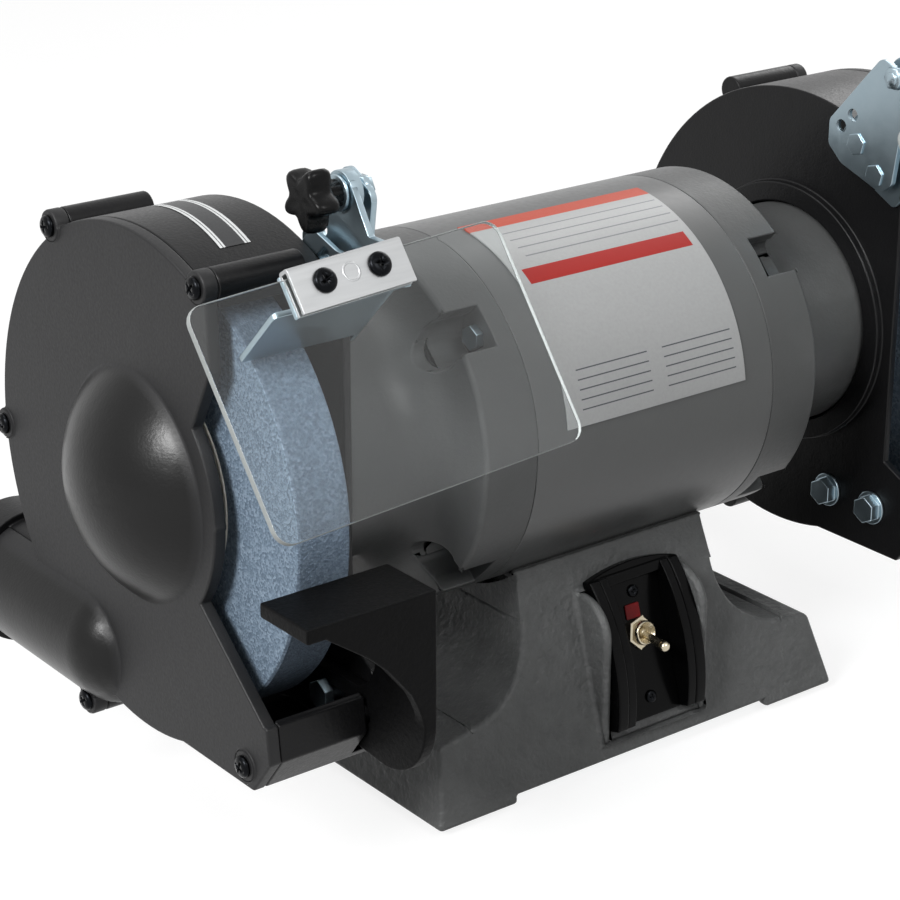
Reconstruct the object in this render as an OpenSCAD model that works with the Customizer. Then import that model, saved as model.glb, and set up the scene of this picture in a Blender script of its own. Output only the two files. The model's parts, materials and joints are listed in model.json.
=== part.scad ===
// Bench grinder with two wheels, guards, eye shields, tool rests and a switched base.
// +X runs along the shaft to the operator's right, -Y faces the operator and +Z is up.
// The origin lies on the bench under the middle of the motor.

/* [Overall] */
// Height of the shaft's axis above the bench
shaft_h = 168; // [160:0.5:180]
// Distance from the motor's middle to each wheel's middle
wheel_x = 194.7; // [193:0.1:197]

/* [Wheels] */
// Diameter of a grinding wheel
wheel_d = 203.2; // [180:0.1:205]
// Thickness of a grinding wheel
wheel_w = 25.4; // [19:0.1:26]
// Diameter of the arbor that carries a wheel
arbor_d = 15.875; // [12.7:0.005:16]
// Diameter of the clamping flanges
flange_d = 76; // [60:0.5:80]
// Diameter of the paper blotters
blotter_d = 101.6; // [90:0.2:110]

/* [Motor] */
// Outer diameter of the motor's shell
motor_d = 166; // [162:0.5:170]
// Length of the motor over both end bells
motor_len = 197.4; // [190:0.2:204]
// Length of the rolled shell between the end bells
shell_len = 140; // [130:0.5:144]
// Wall of the shell
shell_wall = 3; // [2:0.1:4]
// Diameter of each end bell's neck
neck_d = 110.4; // [106:0.2:114]
// Width of the notches for the through bolts
notch_w = 20; // [16:0.5:22]

/* [Guards] */
// Distance from the motor's middle to a guard's inner face
guard_x = 160; // [159:0.1:161]
// Depth of a guard from its inner face to its cover's face
guard_w = 60.6; // [58:0.1:64]
// Outer radius of a guard
guard_r = 113; // [111:0.5:116]
// Wall of a guard
guard_wall = 3.5; // [2.5:0.1:4]
// Radius of the dome over the arbor's end
dome_r = 52; // [46:0.5:56]
// Height of the dome over the arbor's end
dome_h = 25; // [22:0.5:30]
// Outer radius of the dust outlet
port_r = 30; // [26:0.5:32]
// How far behind the shaft the dust outlet ends
port_end = 150; // [135:1:170]

/* [Base] */
// Width of the base over its feet
base_w = 244; // [230:1:260]
// Depth of the base at the bench
base_d = 164; // [150:1:176]
// Width of the saddle under the motor
saddle_w = 114; // [108:1:118]
// Width of the bolt pattern in the feet
bolt_span_x = 204; // [196:1:210]
// Depth of the bolt pattern in the feet
bolt_span_y = 112; // [100:1:118]
// Diameter of the bolt holes in the feet
bolt_hole_d = 9; // [7:0.5:11]
// Thickness of the rubber feet
foot_h = 3; // [2:0.5:5]

/* [Tool rests] */
// Width of a tool rest's table
rest_w = 64; // [54:0.5:68]
// Depth of a tool rest's table
rest_d = 33; // [28:0.5:40]
// Height of the table below the shaft
rest_drop = 15; // [10:0.5:20]
// Clearance between a tool rest and its wheel
rest_gap = 1.6; // [1:0.1:3]

/* [Eye shields] */
// Width of an eye shield
shield_w = 148; // [120:1:150]
// Height of an eye shield along its slope
shield_l = 94; // [80:1:100]
// Thickness of an eye shield
shield_t = 3; // [2:0.5:3.5]
// Lean of an eye shield from upright
shield_lean = 33.6; // [30:0.2:40]
// Clearance between a spark guard and its wheel
spark_gap = 2.4; // [1:0.1:4]

/* [Cord] */
// Diameter of the mains cord
cord_d = 8; // [7:0.5:9]

/* [Hidden] */
$fn = 96;
left = -1;
right = 1;
eps = 0.05;
overrun = 5;

// Shaft and rotor, as radii and distances from the middle
wheel_r = wheel_d / 2;
arbor_r = arbor_d / 2;
arbor_fit = 0.05;
journal_r = 10;
rotor_shaft_r = 13;
blotter_t = 0.8;
wheel_in = wheel_x - wheel_w / 2;
wheel_out = wheel_x + wheel_w / 2;
flange_t = 8;
flange_root = wheel_in - blotter_t - flange_t - 1.2;
nut_in = wheel_out + blotter_t + flange_t;
nut_h = 13.9;
nut_corner_r = 13.8;
shaft_end = nut_in + nut_h + 3;
bearing_in = 122;
bearing_w = 14;
bearing_r = 23.5;
inner_race_r = 14;
outer_race_r = 19.5;
ball_ring_r = 16.68;
ball_r = 2.7;
ball_count = 10;
rotor_r = 45.4;
rotor_len = 80;
stator_bore_r = 46;

// Motor housing
motor_r = motor_d / 2;
shell_r = motor_r - shell_wall;
motor_end = motor_len / 2;
shell_end = shell_len / 2;
neck_r = neck_d / 2;
sweep_r = motor_r - 1.5 - neck_r;
sweep_x = motor_end + sweep_r;
bell_sweep = [for (a = [0:10:90]) [motor_r - 1.5 - sweep_r * sin(a), sweep_x - sweep_r * cos(a)]];
bolt_ring_r = motor_r - 11;
bolt_angles = [44, 136, 224, 316];
notch_floor = motor_end - 18.7;

// Guards
cover_x = guard_x + guard_w;
cover_t = 6;
cover_seam = cover_x - cover_t;
inner_wall_x = guard_x + 4;
cavity_r = guard_r - guard_wall;
wheel_port_r = 42.5;
plate_front = -72;
skirt_low = -109;
lug_r = 7;
lug_from = 173;
lug_points = [[60, 99], [-55, 101], [112, -6], [50, -120.5], [-79, -99]];
port_y = 45;
port_x = cover_x - 16.6;
port_z = -92;
port_wall = 3.5;
collar_len = 22;

// Spark guard and shield, in a frame turned to point from the shaft to the guard's mouth
spark_angle = 45.5;
spark_in = wheel_r + spark_gap;
spark_out = 139;
spark_t = 2.5;
leg_t = 2.3;
leg_gap = 0.2;
bolt_out = 104;
bolt_rise = [15, 33];
slot_in = 95.5;
slot_out = 112;
arm_x = guard_x - leg_t - 2 * leg_gap;
arm_t = 3;
ear_gap = 3;
ear_x = arm_x + ear_gap;
ear_t = 3;
pivot_y = -71;
pivot_z = 133;
pivot_hole_r = 3.2;
pivot_bolt_r = 3.15;
ear_r = 9;
lens_y = -109.2;
lens_z = 118.5;
lens_roll = 3.2;
lens_mid = 188;
lens_from = 114.4;
clamp_from = 162.2;
clamp_to = 216;
clamp_up = 3.6;
clamp_down = 15.1;
lens_gap = 0.1;
sheet_t = 1.6;
clamp_screws = [176, 202];
corner_r = 8;

// Tool rest
arm_in = inner_wall_x + 0.2;
rest_arm_t = 6.3;
rest_back = wheel_x - rest_w / 2;
rest_t = 6.5;
rest_rear = -sqrt(pow(wheel_r, 2) - pow(rest_drop, 2)) - rest_gap;
rest_front = rest_rear - rest_d;
rest_bolt_y = [-36, -66];
rest_bolt_z = -86;
rest_slot_w = 9;
rest_slot_rear = -24;
rest_slot_front = -92;
web_t = 6;
web_curve = [[44.5, -8.5], [26.8, -20.9], [18.1, -28.8], [12.3, -35.9], [6.4, -43.1], [3.7, -48.5], [1.4, -54], [0, -60]];
arm_bend = 28.5;
arm_bend_z = -75.5;

// Base
slope = (base_d / 2 - 52) / 98;
slope_angle = atan(slope);
base_wall = 6.3;
saddle_r = motor_r + 0.1;
scoop_r = 38.3;
scoop_x = saddle_w / 2 + 40;
scoop_z = shaft_h - 88;
foot_floor = 14;
cavity_top = shaft_h - motor_r - 11;
saddle_bolt_x = rotor_len / 2 + 4.5;
post_points = [[-64, -50], [64, -50], [-64, 50], [64, 50]];
switch_x = 6.5;
switch_z = 58;
cord_exit_x = 45;
cord_exit_z = 28;
fin_r = 87.3;
shroud_w = 54;
fin_t = 6;
channel_clear = 0.3;
toggle_angle = 22;

// Cord: the coil lies behind the base, its lead comes in behind it and its tail ends in the plug
cord_r = cord_d / 2;
coil_x = -30;
coil_y = 165;
coil_mid_r = 5.5 * cord_d;
coil_half = 2 * cord_d;
coil_rise = cord_d;
lead_route = [
    [45, 101.5, 36], [45, 110, 38], [45, 119, 39], [45, 129, 37], [45, 138, 31], [45, 146, 23],
    [45, 153, 15], [45, 161, 9], [44, 171, 5], [41, 181, 4], [36, 190, 4], [29, 199, 4],
    [20, 207, 4], [9, 213, 4], [-3, 217, 4], [-16, 220, 4], [-30, 221, 4]
];
tail_route = [
    [-30, 218.3, 12], [-44, 217, 12], [-58, 213, 12], [-71, 207, 11], [-83, 199, 9], [-92, 190, 6],
    [-99, 178, 5], [-104, 166, 7], [-106, 156, 10], [-106, 146, 12]
];
plug_len = 36;

// Frames and shared shapes

module at_shaft() {
    translate([0, 0, shaft_h]) children();
}

// Right-hand pieces are drawn as they stand, left-hand ones are mirrored across the middle.
module side(s) {
    if (s == right) children();
    else mirror([1, 0, 0]) children();
}

module rod_x(from, to, r) {
    translate([from, 0, 0]) rotate([0, 90, 0]) cylinder(h = to - from, r = r);
}

module tube_x(from, to, r, bore) {
    difference() {
        rod_x(from, to, r);
        rod_x(from - 1, to + 1, bore);
    }
}

// A 2D outline in (y, z), drawn out along X
module plate_x(from, to) {
    translate([from, 0, 0]) rotate([90, 0, 90]) linear_extrude(to - from) children();
}

// A 2D outline in (x, z), drawn out along Y
module plate_y(from, to) {
    translate([0, to, 0]) rotate([90, 0, 0]) linear_extrude(to - from) children();
}

// A profile of [radius, x] points, turned about X
module turned_x(profile) {
    rotate([0, 90, 0]) rotate_extrude() polygon(profile);
}

module hex_x(from, to, corner_r) {
    translate([from, 0, 0]) rotate([0, 90, 0]) cylinder(h = to - from, r = corner_r, $fn = 6);
}

// Turns a frame so that -Y points from the shaft towards the guard's mouth
module to_mouth() {
    at_shaft() rotate([-spark_angle, 0, 0]) children();
}

// A frame on the base's front face: -Y points out of the face and +Z runs up the slope
module on_front_face() {
    face_y = -base_d / 2 + slope * (switch_z - foot_h);
    translate([switch_x, face_y, switch_z]) rotate([-slope_angle, 0, 0]) children();
}

module on_rear_face() {
    face_y = base_d / 2 - slope * (cord_exit_z - foot_h);
    translate([cord_exit_x, face_y, cord_exit_z]) rotate([slope_angle, 0, 0]) children();
}

module at_lens() {
    at_shaft() translate([lens_mid, lens_y, lens_z]) rotate([-shield_lean, 0, 0]) rotate([0, lens_roll, 0])
        translate([-lens_mid, 0, 0]) children();
}

// Base

module base_outline() {
    low = foot_h;
    half = base_w / 2;
    polygon([
        [-half, low], [half, low], [half - 8, low + 35.5], [scoop_x, low + 38],
        [scoop_x, scoop_z], [saddle_w / 2 + 1.5, scoop_z], [saddle_w / 2, shaft_h - 66],
        [-saddle_w / 2, shaft_h - 66], [-saddle_w / 2 - 1.5, scoop_z], [-scoop_x, scoop_z],
        [-scoop_x, low + 38], [-half + 8, low + 35.5]
    ]);
}

module cavity_outline() {
    half = base_w / 2;
    inner = half - 38;
    polygon([
        [-inner, 0], [inner, 0], [inner, foot_floor], [half - 10, foot_floor],
        [half - 14, foot_h + 29], [scoop_x, foot_h + 31.5], [scoop_x, cavity_top],
        [-scoop_x, cavity_top], [-scoop_x, foot_h + 31.5], [-half + 14, foot_h + 29],
        [-half + 10, foot_floor], [-inner, foot_floor]
    ]);
}

// Depth outline of the base in (y, z), drawn in from its faces by inset
module depth_outline(inset) {
    foot_y = base_d / 2 - inset;
    top_z = shaft_h - 50;
    top_y = foot_y - slope * (top_z - foot_h);
    drop = foot_h + 1;
    polygon([
        [-foot_y - slope * drop, -1], [foot_y + slope * drop, -1], [top_y, top_z], [-top_y, top_z]
    ]);
}

module scoops(r) {
    for (s = [left, right])
        translate([s * scoop_x, 0, scoop_z]) rotate([90, 0, 0])
            cylinder(h = 2 * base_d, r = r, center = true);
}

module base_shell() {
    difference() {
        intersection() {
            plate_y(-base_d, base_d) base_outline();
            plate_x(-base_w, base_w) depth_outline(0);
        }
        scoops(scoop_r);
        at_shaft() rod_x(-base_w, base_w, saddle_r);
        translate([-base_w / 2 + 45, -base_d, 0]) cube([base_w - 90, 2 * base_d, foot_h + 3.5]);
    }
}

module base_cavity() {
    difference() {
        intersection() {
            plate_y(-base_d, base_d) cavity_outline();
            plate_x(-base_w, base_w) depth_outline(base_wall);
        }
        scoops(scoop_r + 6.2);
        for (p = post_points) translate([p[0], p[1], foot_h + 6.5]) cylinder(h = 60, r = 6);
    }
}

module switch_boss() {
    boss_front = -79.5;
    round_r = 18.5;
    x0 = switch_x - shroud_w / 2 - 5;
    x1 = switch_x + shroud_w / 2 + 5;
    difference() {
        union() {
            plate_x(x0, x1) polygon([
                [boss_front, 14], [-70, 14], [-50, 66], [-50, 84], [-61, 84], [-61, 66], [boss_front, 66]
            ]);
            translate([0, boss_front + round_r, 66]) rod_x(x0, x1, round_r);
        }
        base_inner_block();
        on_front_face() translate([-shroud_w / 2 - channel_clear, -60, -60])
            cube([shroud_w + 2 * channel_clear, 60, 120]);
    }
}

// The space behind the base's front wall, which the boss keeps out of
module base_inner_block() {
    plate_x(-base_w, base_w) depth_outline(base_wall - 1);
}

module base_casting() {
    color("#585858") difference() {
        union() {
            difference() {
                base_shell();
                base_cavity();
            }
            switch_boss();
        }
        for (x = [-1, 1], y = [-1, 1])
            translate([x * bolt_span_x / 2, y * bolt_span_y / 2, -1])
                cylinder(h = foot_floor + 2, d = bolt_hole_d);
        for (p = post_points) translate([p[0], p[1], 0]) cylinder(h = 30, r = 2);
        for (x = [-saddle_bolt_x, saddle_bolt_x]) translate([x, 0, cavity_top - overrun]) cylinder(h = 30, r = 4.2);
        translate([0, 0, cavity_top - overrun]) cylinder(h = 30, r = 9);
        on_front_face() translate([0, 10, 0]) rotate([90, 0, 0]) cylinder(h = 30, r = 6.1);
        on_rear_face() translate([0, -15, 0]) rotate([-90, 0, 0]) cylinder(h = 30, r = 8.1);
    }
}

module bottom_plate() {
    z0 = foot_h + 5;
    color("#8a8c8e") {
        difference() {
            translate([-82, -73, z0]) cube([164, 146, 1.5]);
            for (p = post_points) translate([p[0], p[1], 0]) cylinder(h = 20, r = 2.3);
        }
        for (p = post_points) translate([p[0], p[1], z0]) {
            translate([0, 0, -2.2]) cylinder(h = 2.2, r = 3.8);
            cylinder(h = 16, r = 1.95);
        }
    }
}

module rubber_feet() {
    color("#1c1c1c")
        for (x = [-1, 1], y = [-1, 1])
            translate([x * bolt_span_x / 2, y * bolt_span_y / 2, 0]) difference() {
                cylinder(h = foot_h, r = 13);
                translate([0, 0, -1]) cylinder(h = foot_h + 2, d = bolt_hole_d);
            }
}

module saddle_bolts() {
    color("#b9bcc0")
        for (x = [-saddle_bolt_x, saddle_bolt_x]) translate([x, 0, 0]) {
            translate([0, 0, cavity_top - 5.5]) cylinder(h = 5.5, r = 7, $fn = 6);
            translate([0, 0, cavity_top - 1]) cylinder(h = 18, r = 4);
        }
}

// Motor

module bolt_places(r) {
    for (a = bolt_angles) translate([0, -r * cos(a), r * sin(a)]) children();
}

module motor_shell() {
    color("#757575") difference() {
        at_shaft() tube_x(-shell_end, shell_end, motor_r, shell_r);
        for (x = [-saddle_bolt_x, saddle_bolt_x]) translate([x, 0, cavity_top]) cylinder(h = 30, r = 4.2);
        translate([0, 0, cavity_top]) cylinder(h = 30, r = 9);
    }
}

// A thin plate that wraps round the shell from near its top to the front
module nameplate() {
    plate_t = 0.6;
    plate_gap = 0.1;
    from_angle = 7;
    to_angle = 86;
    color("#d6d6d4") at_shaft() difference() {
        intersection() {
            tube_x(-54, 52, motor_r + plate_t, motor_r + plate_gap);
            plate_x(-60, 60) polygon([
                [0, 0], [-120 * cos(from_angle), 120 * sin(from_angle)], [-120, 120],
                [-120 * cos(to_angle), 120 * sin(to_angle)]
            ]);
        }
    }
}

// The bell is the same front and back, so the left one is the right one turned round.
module end_bell(turn) {
    color("#757575") rotate([0, 0, turn]) at_shaft() difference() {
        union() {
            turned_x([
                [shell_r - 3, shell_end - 6], [shell_r, shell_end - 6], [shell_r, shell_end],
                [motor_r, shell_end], [motor_r, motor_end - 1.5], each bell_sweep,
                [neck_r, guard_x], [wheel_port_r - 0.5, guard_x], [wheel_port_r - 0.5, 140],
                [20, 140], [20, 136], [bearing_r, 136], [bearing_r, 118], [47, 118], [50, 110],
                [62, 100], [shell_r - 3, 90]
            ]);
            intersection() {
                bolt_places(bolt_ring_r) rod_x(shell_end, motor_end, 14);
                rod_x(shell_end, motor_end, motor_r - 1);
            }
        }
        bolt_places(bolt_ring_r) {
            rod_x(notch_floor, sweep_x + 5, notch_w / 2 + 0.8);
            rod_x(shell_end - 1, notch_floor + 1, 3.3);
        }
        for (a = bolt_angles) rotate([-a, 0, 0])
            translate([notch_floor, -motor_r - overrun, -notch_w / 2])
                cube([60, motor_r + overrun - bolt_ring_r - 3.7, notch_w]);
        for (a = [90, 210, 330])
            translate([guard_x - 18, -48.5 * cos(a), 48.5 * sin(a)]) rod_x(0, 20, 3);
    }
}

module through_bolts() {
    color("#9fa3a8") at_shaft() bolt_places(bolt_ring_r) {
        hex_x(-notch_floor - 4, -notch_floor, 5.7);
        rod_x(-notch_floor - eps, notch_floor + 7, 3);
        hex_x(notch_floor, notch_floor + 5, 5.7);
    }
}

module stator_core() {
    color("#6e7174") at_shaft() difference() {
        tube_x(-rotor_len / 2, rotor_len / 2, shell_r, stator_bore_r);
        bolt_places(bolt_ring_r) rod_x(-rotor_len, rotor_len, 3.4);
    }
}

module stator_windings() {
    color("#a5602c") at_shaft() for (s = [left, right]) side(s)
        turned_x([[49, rotor_len / 2], [66, rotor_len / 2], [66, 58], [63, 62], [52, 62], [49, 58]]);
}

module rotor_core() {
    color("#8f9296") at_shaft() tube_x(-rotor_len / 2, rotor_len / 2, rotor_r, rotor_shaft_r);
}

module shaft() {
    half_profile = [
        [rotor_shaft_r, bearing_in], [journal_r, bearing_in], [journal_r, flange_root],
        [arbor_r, flange_root], [arbor_r, shaft_end - 1], [arbor_r - 1, shaft_end]
    ];
    right_half = [for (p = half_profile) p];
    left_half = [for (i = [len(half_profile) - 1:-1:0]) [half_profile[i][0], -half_profile[i][1]]];
    color("#a9adb2") at_shaft()
        turned_x(concat([[0, -shaft_end]], left_half, right_half, [[0, shaft_end]]));
}

module bearing_outer_races() {
    color("#9a9da1") at_shaft() for (s = [left, right]) side(s)
        tube_x(bearing_in, bearing_in + bearing_w, bearing_r, outer_race_r);
}

module bearing_inner_races() {
    color("#b4b7bb") at_shaft() for (s = [left, right]) side(s) {
        tube_x(bearing_in, bearing_in + bearing_w, inner_race_r, journal_r);
        for (i = [0:ball_count - 1]) rotate([i * 360 / ball_count, 0, 0])
            translate([bearing_in + bearing_w / 2, ball_ring_r, 0]) sphere(r = ball_r, $fn = 32);
    }
}

module start_governor() {
    color("#3b3b38") at_shaft() {
        tube_x(-88, -70, 18, rotor_shaft_r);
        tube_x(-90, -88, 30, rotor_shaft_r);
    }
}

module start_contacts() {
    color("#6b4a2a") at_shaft() {
        tube_x(-102, -99.5, 44, 24);
        for (a = [30, 150, 270]) rotate([a, 0, 0]) translate([0, 36, 0]) rod_x(-118, -102, 3);
    }
}

module capacitor() {
    color("#2c2c2e") {
        translate([-55, 22, 30]) rotate([0, 90, 0]) cylinder(h = 80, r = 17);
        translate([-30, 4, 9.5]) cube([4, 36, 5]);
        translate([0, 4, 9.5]) cube([4, 36, 5]);
    }
}

// Rotating pieces outside the motor

module wheel(s) {
    chamfer = 1;
    color("#5d7186") side(s) at_shaft() turned_x([
        [arbor_r + arbor_fit, wheel_in], [wheel_r - chamfer, wheel_in], [wheel_r, wheel_in + chamfer],
        [wheel_r, wheel_out - chamfer], [wheel_r - chamfer, wheel_out], [arbor_r + arbor_fit, wheel_out]
    ]);
}

module blotters() {
    color("#e4e2da") at_shaft() for (s = [left, right]) side(s) {
        tube_x(wheel_in - blotter_t, wheel_in, blotter_d / 2, arbor_r + 0.4);
        tube_x(wheel_out, wheel_out + blotter_t, blotter_d / 2, arbor_r + 0.4);
    }
}

module inner_flange(s) {
    face = wheel_in - blotter_t;
    color("#8c9095") side(s) at_shaft() turned_x([
        [arbor_r + arbor_fit, flange_root], [14, flange_root], [14, face - flange_t + 2],
        [flange_d / 2, face - flange_t + 2], [flange_d / 2, face], [flange_d / 2 - 9, face],
        [flange_d / 2 - 10, face - 1.5], [arbor_r + arbor_fit, face - 1.5]
    ]);
}

module outer_flange(s) {
    face = wheel_out + blotter_t;
    color("#8c9095") side(s) at_shaft() turned_x([
        [arbor_r + arbor_fit, face + 1.5], [flange_d / 2 - 10, face + 1.5], [flange_d / 2 - 9, face],
        [flange_d / 2, face], [flange_d / 2, face + 4], [flange_d / 2 - 3, face + 6], [20, face + flange_t],
        [arbor_r + arbor_fit, face + flange_t]
    ]);
}

module arbor_nut(s) {
    color("#a9adb2") side(s) at_shaft() difference() {
        hex_x(nut_in, nut_in + nut_h, nut_corner_r);
        rod_x(nut_in - 1, nut_in + nut_h + 1, arbor_r + arbor_fit);
    }
}

// Guards

// Everything in front of this line, seen along the shaft, is the guard's mouth
module mouth_outline() {
    polygon([
        [-57, 160], [-61, 66], [-46, 38], [-62, 0], [-44, -34], [-93, -76], [-200, -76], [-200, 160]
    ]);
}

// The straight skirt below the wheel, which carries the lower front lug
module skirt_outline(inset) {
    low = skirt_low + inset;
    polygon([
        [-22, low], [-84 + inset, low], [-97 + inset, -92], [-95 + inset, -74], [-60, -46], [-22, -60]
    ]);
}

module guard_envelope(from, to, inset) {
    rod_x(from, to, guard_r - inset);
    plate_x(from, to) skirt_outline(inset);
}

module port_tube(r, from, to) {
    nose = [for (a = [0:15:75]) [r * sin(a), from - r * cos(a)]];
    translate([port_x, 0, port_z]) rotate([-90, 0, 0]) rotate_extrude()
        polygon(concat(nose, [[r, from], [r, to], [0, to]]));
}

module along_port(from, to, r) {
    translate([port_x, from, port_z]) rotate([-90, 0, 0]) cylinder(h = to - from, r = r);
}

module lugs(from, to, r) {
    for (p = lug_points) translate([0, p[0], p[1]]) rod_x(from, to, r);
}

module guard_shell() {
    difference() {
        union() {
            difference() {
                guard_envelope(guard_x, cover_seam, 0);
                plate_x(inner_wall_x, cover_x) mouth_outline();
                plate_x(guard_x - 1, cover_x) polygon([
                    [plate_front, 160], [plate_front, -60], [-97, -72], [-200, -72], [-200, 160]
                ]);
            }
            lugs(lug_from, cover_seam, lug_r);
            intersection() {
                port_tube(port_r, port_y, port_end - 1);
                translate([0, 0, -200]) cube([cover_seam, 400, 400]);
            }
            along_port(port_end - collar_len, port_end, port_r + 3);
            tube_x(guard_x - 4, guard_x + eps, 66, neck_r + 1);
        }
        difference() {
            guard_envelope(inner_wall_x, cover_x, guard_wall);
            for (p = lug_points) translate([0, p[0], p[1]]) rod_x(lug_from - 1, cover_x, lug_r - 0.5);
        }
        port_tube(port_r - port_wall, port_y, port_end - collar_len + 1);
        along_port(port_end - collar_len, port_end + 1, port_r - port_wall + 1);
        translate([inner_wall_x, -120, skirt_low + guard_wall])
            cube([rest_arm_t + 1.4, 60, -60 - skirt_low]);
    }
}

module guard_body(s) {
    color("#2c2c2c") side(s) at_shaft() {
        difference() {
            guard_shell();
            rod_x(guard_x - overrun, inner_wall_x + 1, wheel_port_r);
            for (a = [90, 210, 330])
                translate([guard_x - overrun, -48.5 * cos(a), 48.5 * sin(a)]) rod_x(0, 15, 3.2);
            for (y = rest_bolt_y) translate([guard_x - 1, y, rest_bolt_z]) rod_x(0, 6, 4.1);
            rotate([-spark_angle, 0, 0]) for (z = bolt_rise)
                translate([guard_x - 1, -bolt_out, z]) rod_x(0, 6, 3.05);
            for (p = lug_points) translate([0, p[0], p[1]]) rod_x(cover_seam - 14, cover_seam + 1, 2);
        }
    }
}

// The dome and the bulge of the dust outlet stand out from the flat cover.
module cover_domes(inset) {
    cap_r = (pow(dome_r, 2) + pow(dome_h, 2)) / (2 * dome_h);
    centre_x = cover_x + dome_h - cap_r;
    rim_angle = acos((cover_seam - 2 - centre_x) / (cap_r - inset));
    arc = [for (i = [0:10])
        let (a = rim_angle * (1 - i / 10)) [(cap_r - inset) * sin(a), centre_x + (cap_r - inset) * cos(a)]];
    turned_x(concat([[0, cover_seam - 2]], arc));
    port_tube(port_r - inset, port_y, port_end - collar_len + inset);
}

module guard_cover(s) {
    color("#2c2c2c") side(s) at_shaft() difference() {
        union() {
            difference() {
                guard_envelope(cover_seam, cover_x, 0);
                plate_x(cover_seam - 1, cover_x + 1) mouth_outline();
            }
            intersection() {
                rod_x(cover_seam, cover_x, 61);
                translate([cover_seam, -61, -40]) cube([cover_t, 40, 80]);
            }
            lugs(cover_seam, cover_x + 1, lug_r);
            intersection() {
                cover_domes(0);
                translate([cover_seam, -200, -200]) cube([100, 400, 400]);
            }
        }
        intersection() {
            cover_domes(port_wall);
            translate([cover_seam - 1, -200, -200]) cube([100, 400, 400]);
        }
        for (p = lug_points) translate([0, p[0], p[1]]) {
            rod_x(cover_seam - 1, cover_x + 5, 2.7);
            rod_x(cover_x + 1, cover_x + 20, 5.4);
        }
    }
}

module guard_screws(s) {
    color("#1f1f20") side(s) at_shaft() {
        for (p = lug_points) translate([0, p[0], p[1]]) {
            rod_x(cover_seam - 12, cover_x + 1 + eps, 1.95);
            rod_x(cover_x + 1, cover_x + 3.6, 4.8);
        }
        for (a = [90, 210, 330]) translate([0, -48.5 * cos(a), 48.5 * sin(a)]) {
            rod_x(guard_x - 14, inner_wall_x + eps, 2.95);
            rod_x(inner_wall_x, inner_wall_x + 3.5, 5);
        }
    }
}

// Spark guard and eye shield

module spark_guard(s) {
    leg_x = guard_x - leg_t - leg_gap;
    color("#8fa0ab") side(s) to_mouth() difference() {
        union() {
            translate([leg_x, -spark_out, -spark_t / 2])
                cube([214 - leg_x, spark_out - spark_in, spark_t]);
            plate_x(leg_x, leg_x + leg_t) polygon([
                [-spark_out, -spark_t / 2], [-98, -spark_t / 2], [-88, 30], [-89, 42], [-97, 46],
                [-112, 46], [-120, 30], [-spark_out, 8]
            ]);
        }
        for (z = bolt_rise) {
            for (y = [slot_in, slot_out]) translate([leg_x - 1, -y, z]) rod_x(0, 5, 3.3);
            translate([leg_x - 1, -slot_out, z - 3.3]) cube([5, slot_out - slot_in, 6.6]);
        }
    }
}

module bracket_bolts(s) {
    head_x = arm_x - arm_t;
    color("#b9bcc0") side(s) to_mouth() for (z = bolt_rise) translate([0, -bolt_out, z]) {
        hex_x(head_x - 4, head_x, 5.7);
        rod_x(head_x - eps, inner_wall_x, 3);
    }
}

module shield_arm(s) {
    x0 = arm_x - arm_t;
    color("#8fa0ab") side(s) at_shaft() difference() {
        union() {
            plate_x(x0, arm_x) polygon([
                [-65, 139.7], [-31, 106], [-31, 94], [-40, 86], [-66, 77], [-73, 82], [-79.6, 130]
            ]);
            translate([0, pivot_y, pivot_z]) rod_x(x0, arm_x, ear_r);
        }
        translate([0, pivot_y, pivot_z]) rod_x(x0 - 1, arm_x + 1, pivot_hole_r);
        for (q = [[-39, 104], [-46, 110.5]]) translate([0, q[0], q[1]]) rod_x(x0 - 1, arm_x + 1, 3.2);
        rotate([-spark_angle, 0, 0]) for (z = bolt_rise) translate([0, -bolt_out, z])
            rod_x(x0 - 1, arm_x + 1, 3.05);
    }
}

// The ear, the spacer and the back plate turn together about the pivot.
module shield_hinge(s) {
    back_y = shield_t / 2 + lens_gap + sheet_t + lens_gap;
    color("#8fa0ab") side(s) {
        at_shaft() difference() {
            union() {
                plate_x(ear_x, ear_x + ear_t) polygon([
                    [-77.6, 139.2], [-90.2, 119.4], [-103.3, 119.2], [-114.5, 103.5], [-98.2, 106.4], [-64, 127.3]
                ]);
                translate([0, pivot_y, pivot_z]) rod_x(arm_x + 0.2, ear_x + ear_t, ear_r);
            }
            translate([0, pivot_y, pivot_z]) rod_x(arm_x - 1, ear_x + ear_t + 1, pivot_hole_r);
        }
        at_lens() difference() {
            translate([ear_x + 1, back_y, -clamp_down]) cube([clamp_to - ear_x - 1, 2.4, clamp_down + 2.6]);
            for (x = clamp_screws) translate([x, 0, -5]) rotate([-90, 0, 0]) cylinder(h = 20, r = 2.1);
        }
    }
}

module shield_lens(s) {
    x0 = lens_from;
    x1 = lens_from + shield_w;
    color("#c9dde3", 0.4) side(s) at_lens() difference() {
        union() {
            translate([x0 + corner_r, -shield_t / 2, -shield_l])
                cube([shield_w - 2 * corner_r, shield_t, shield_l]);
            translate([x0, -shield_t / 2, corner_r - shield_l])
                cube([shield_w, shield_t, shield_l - 2 * corner_r]);
            for (x = [x0 + corner_r, x1 - corner_r], z = [-corner_r, corner_r - shield_l])
                translate([x, shield_t / 2, z]) rotate([90, 0, 0]) cylinder(h = shield_t, r = corner_r);
        }
        for (x = clamp_screws) translate([x, -overrun, -5]) rotate([-90, 0, 0]) cylinder(h = 20, r = 2.1);
    }
}

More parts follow.
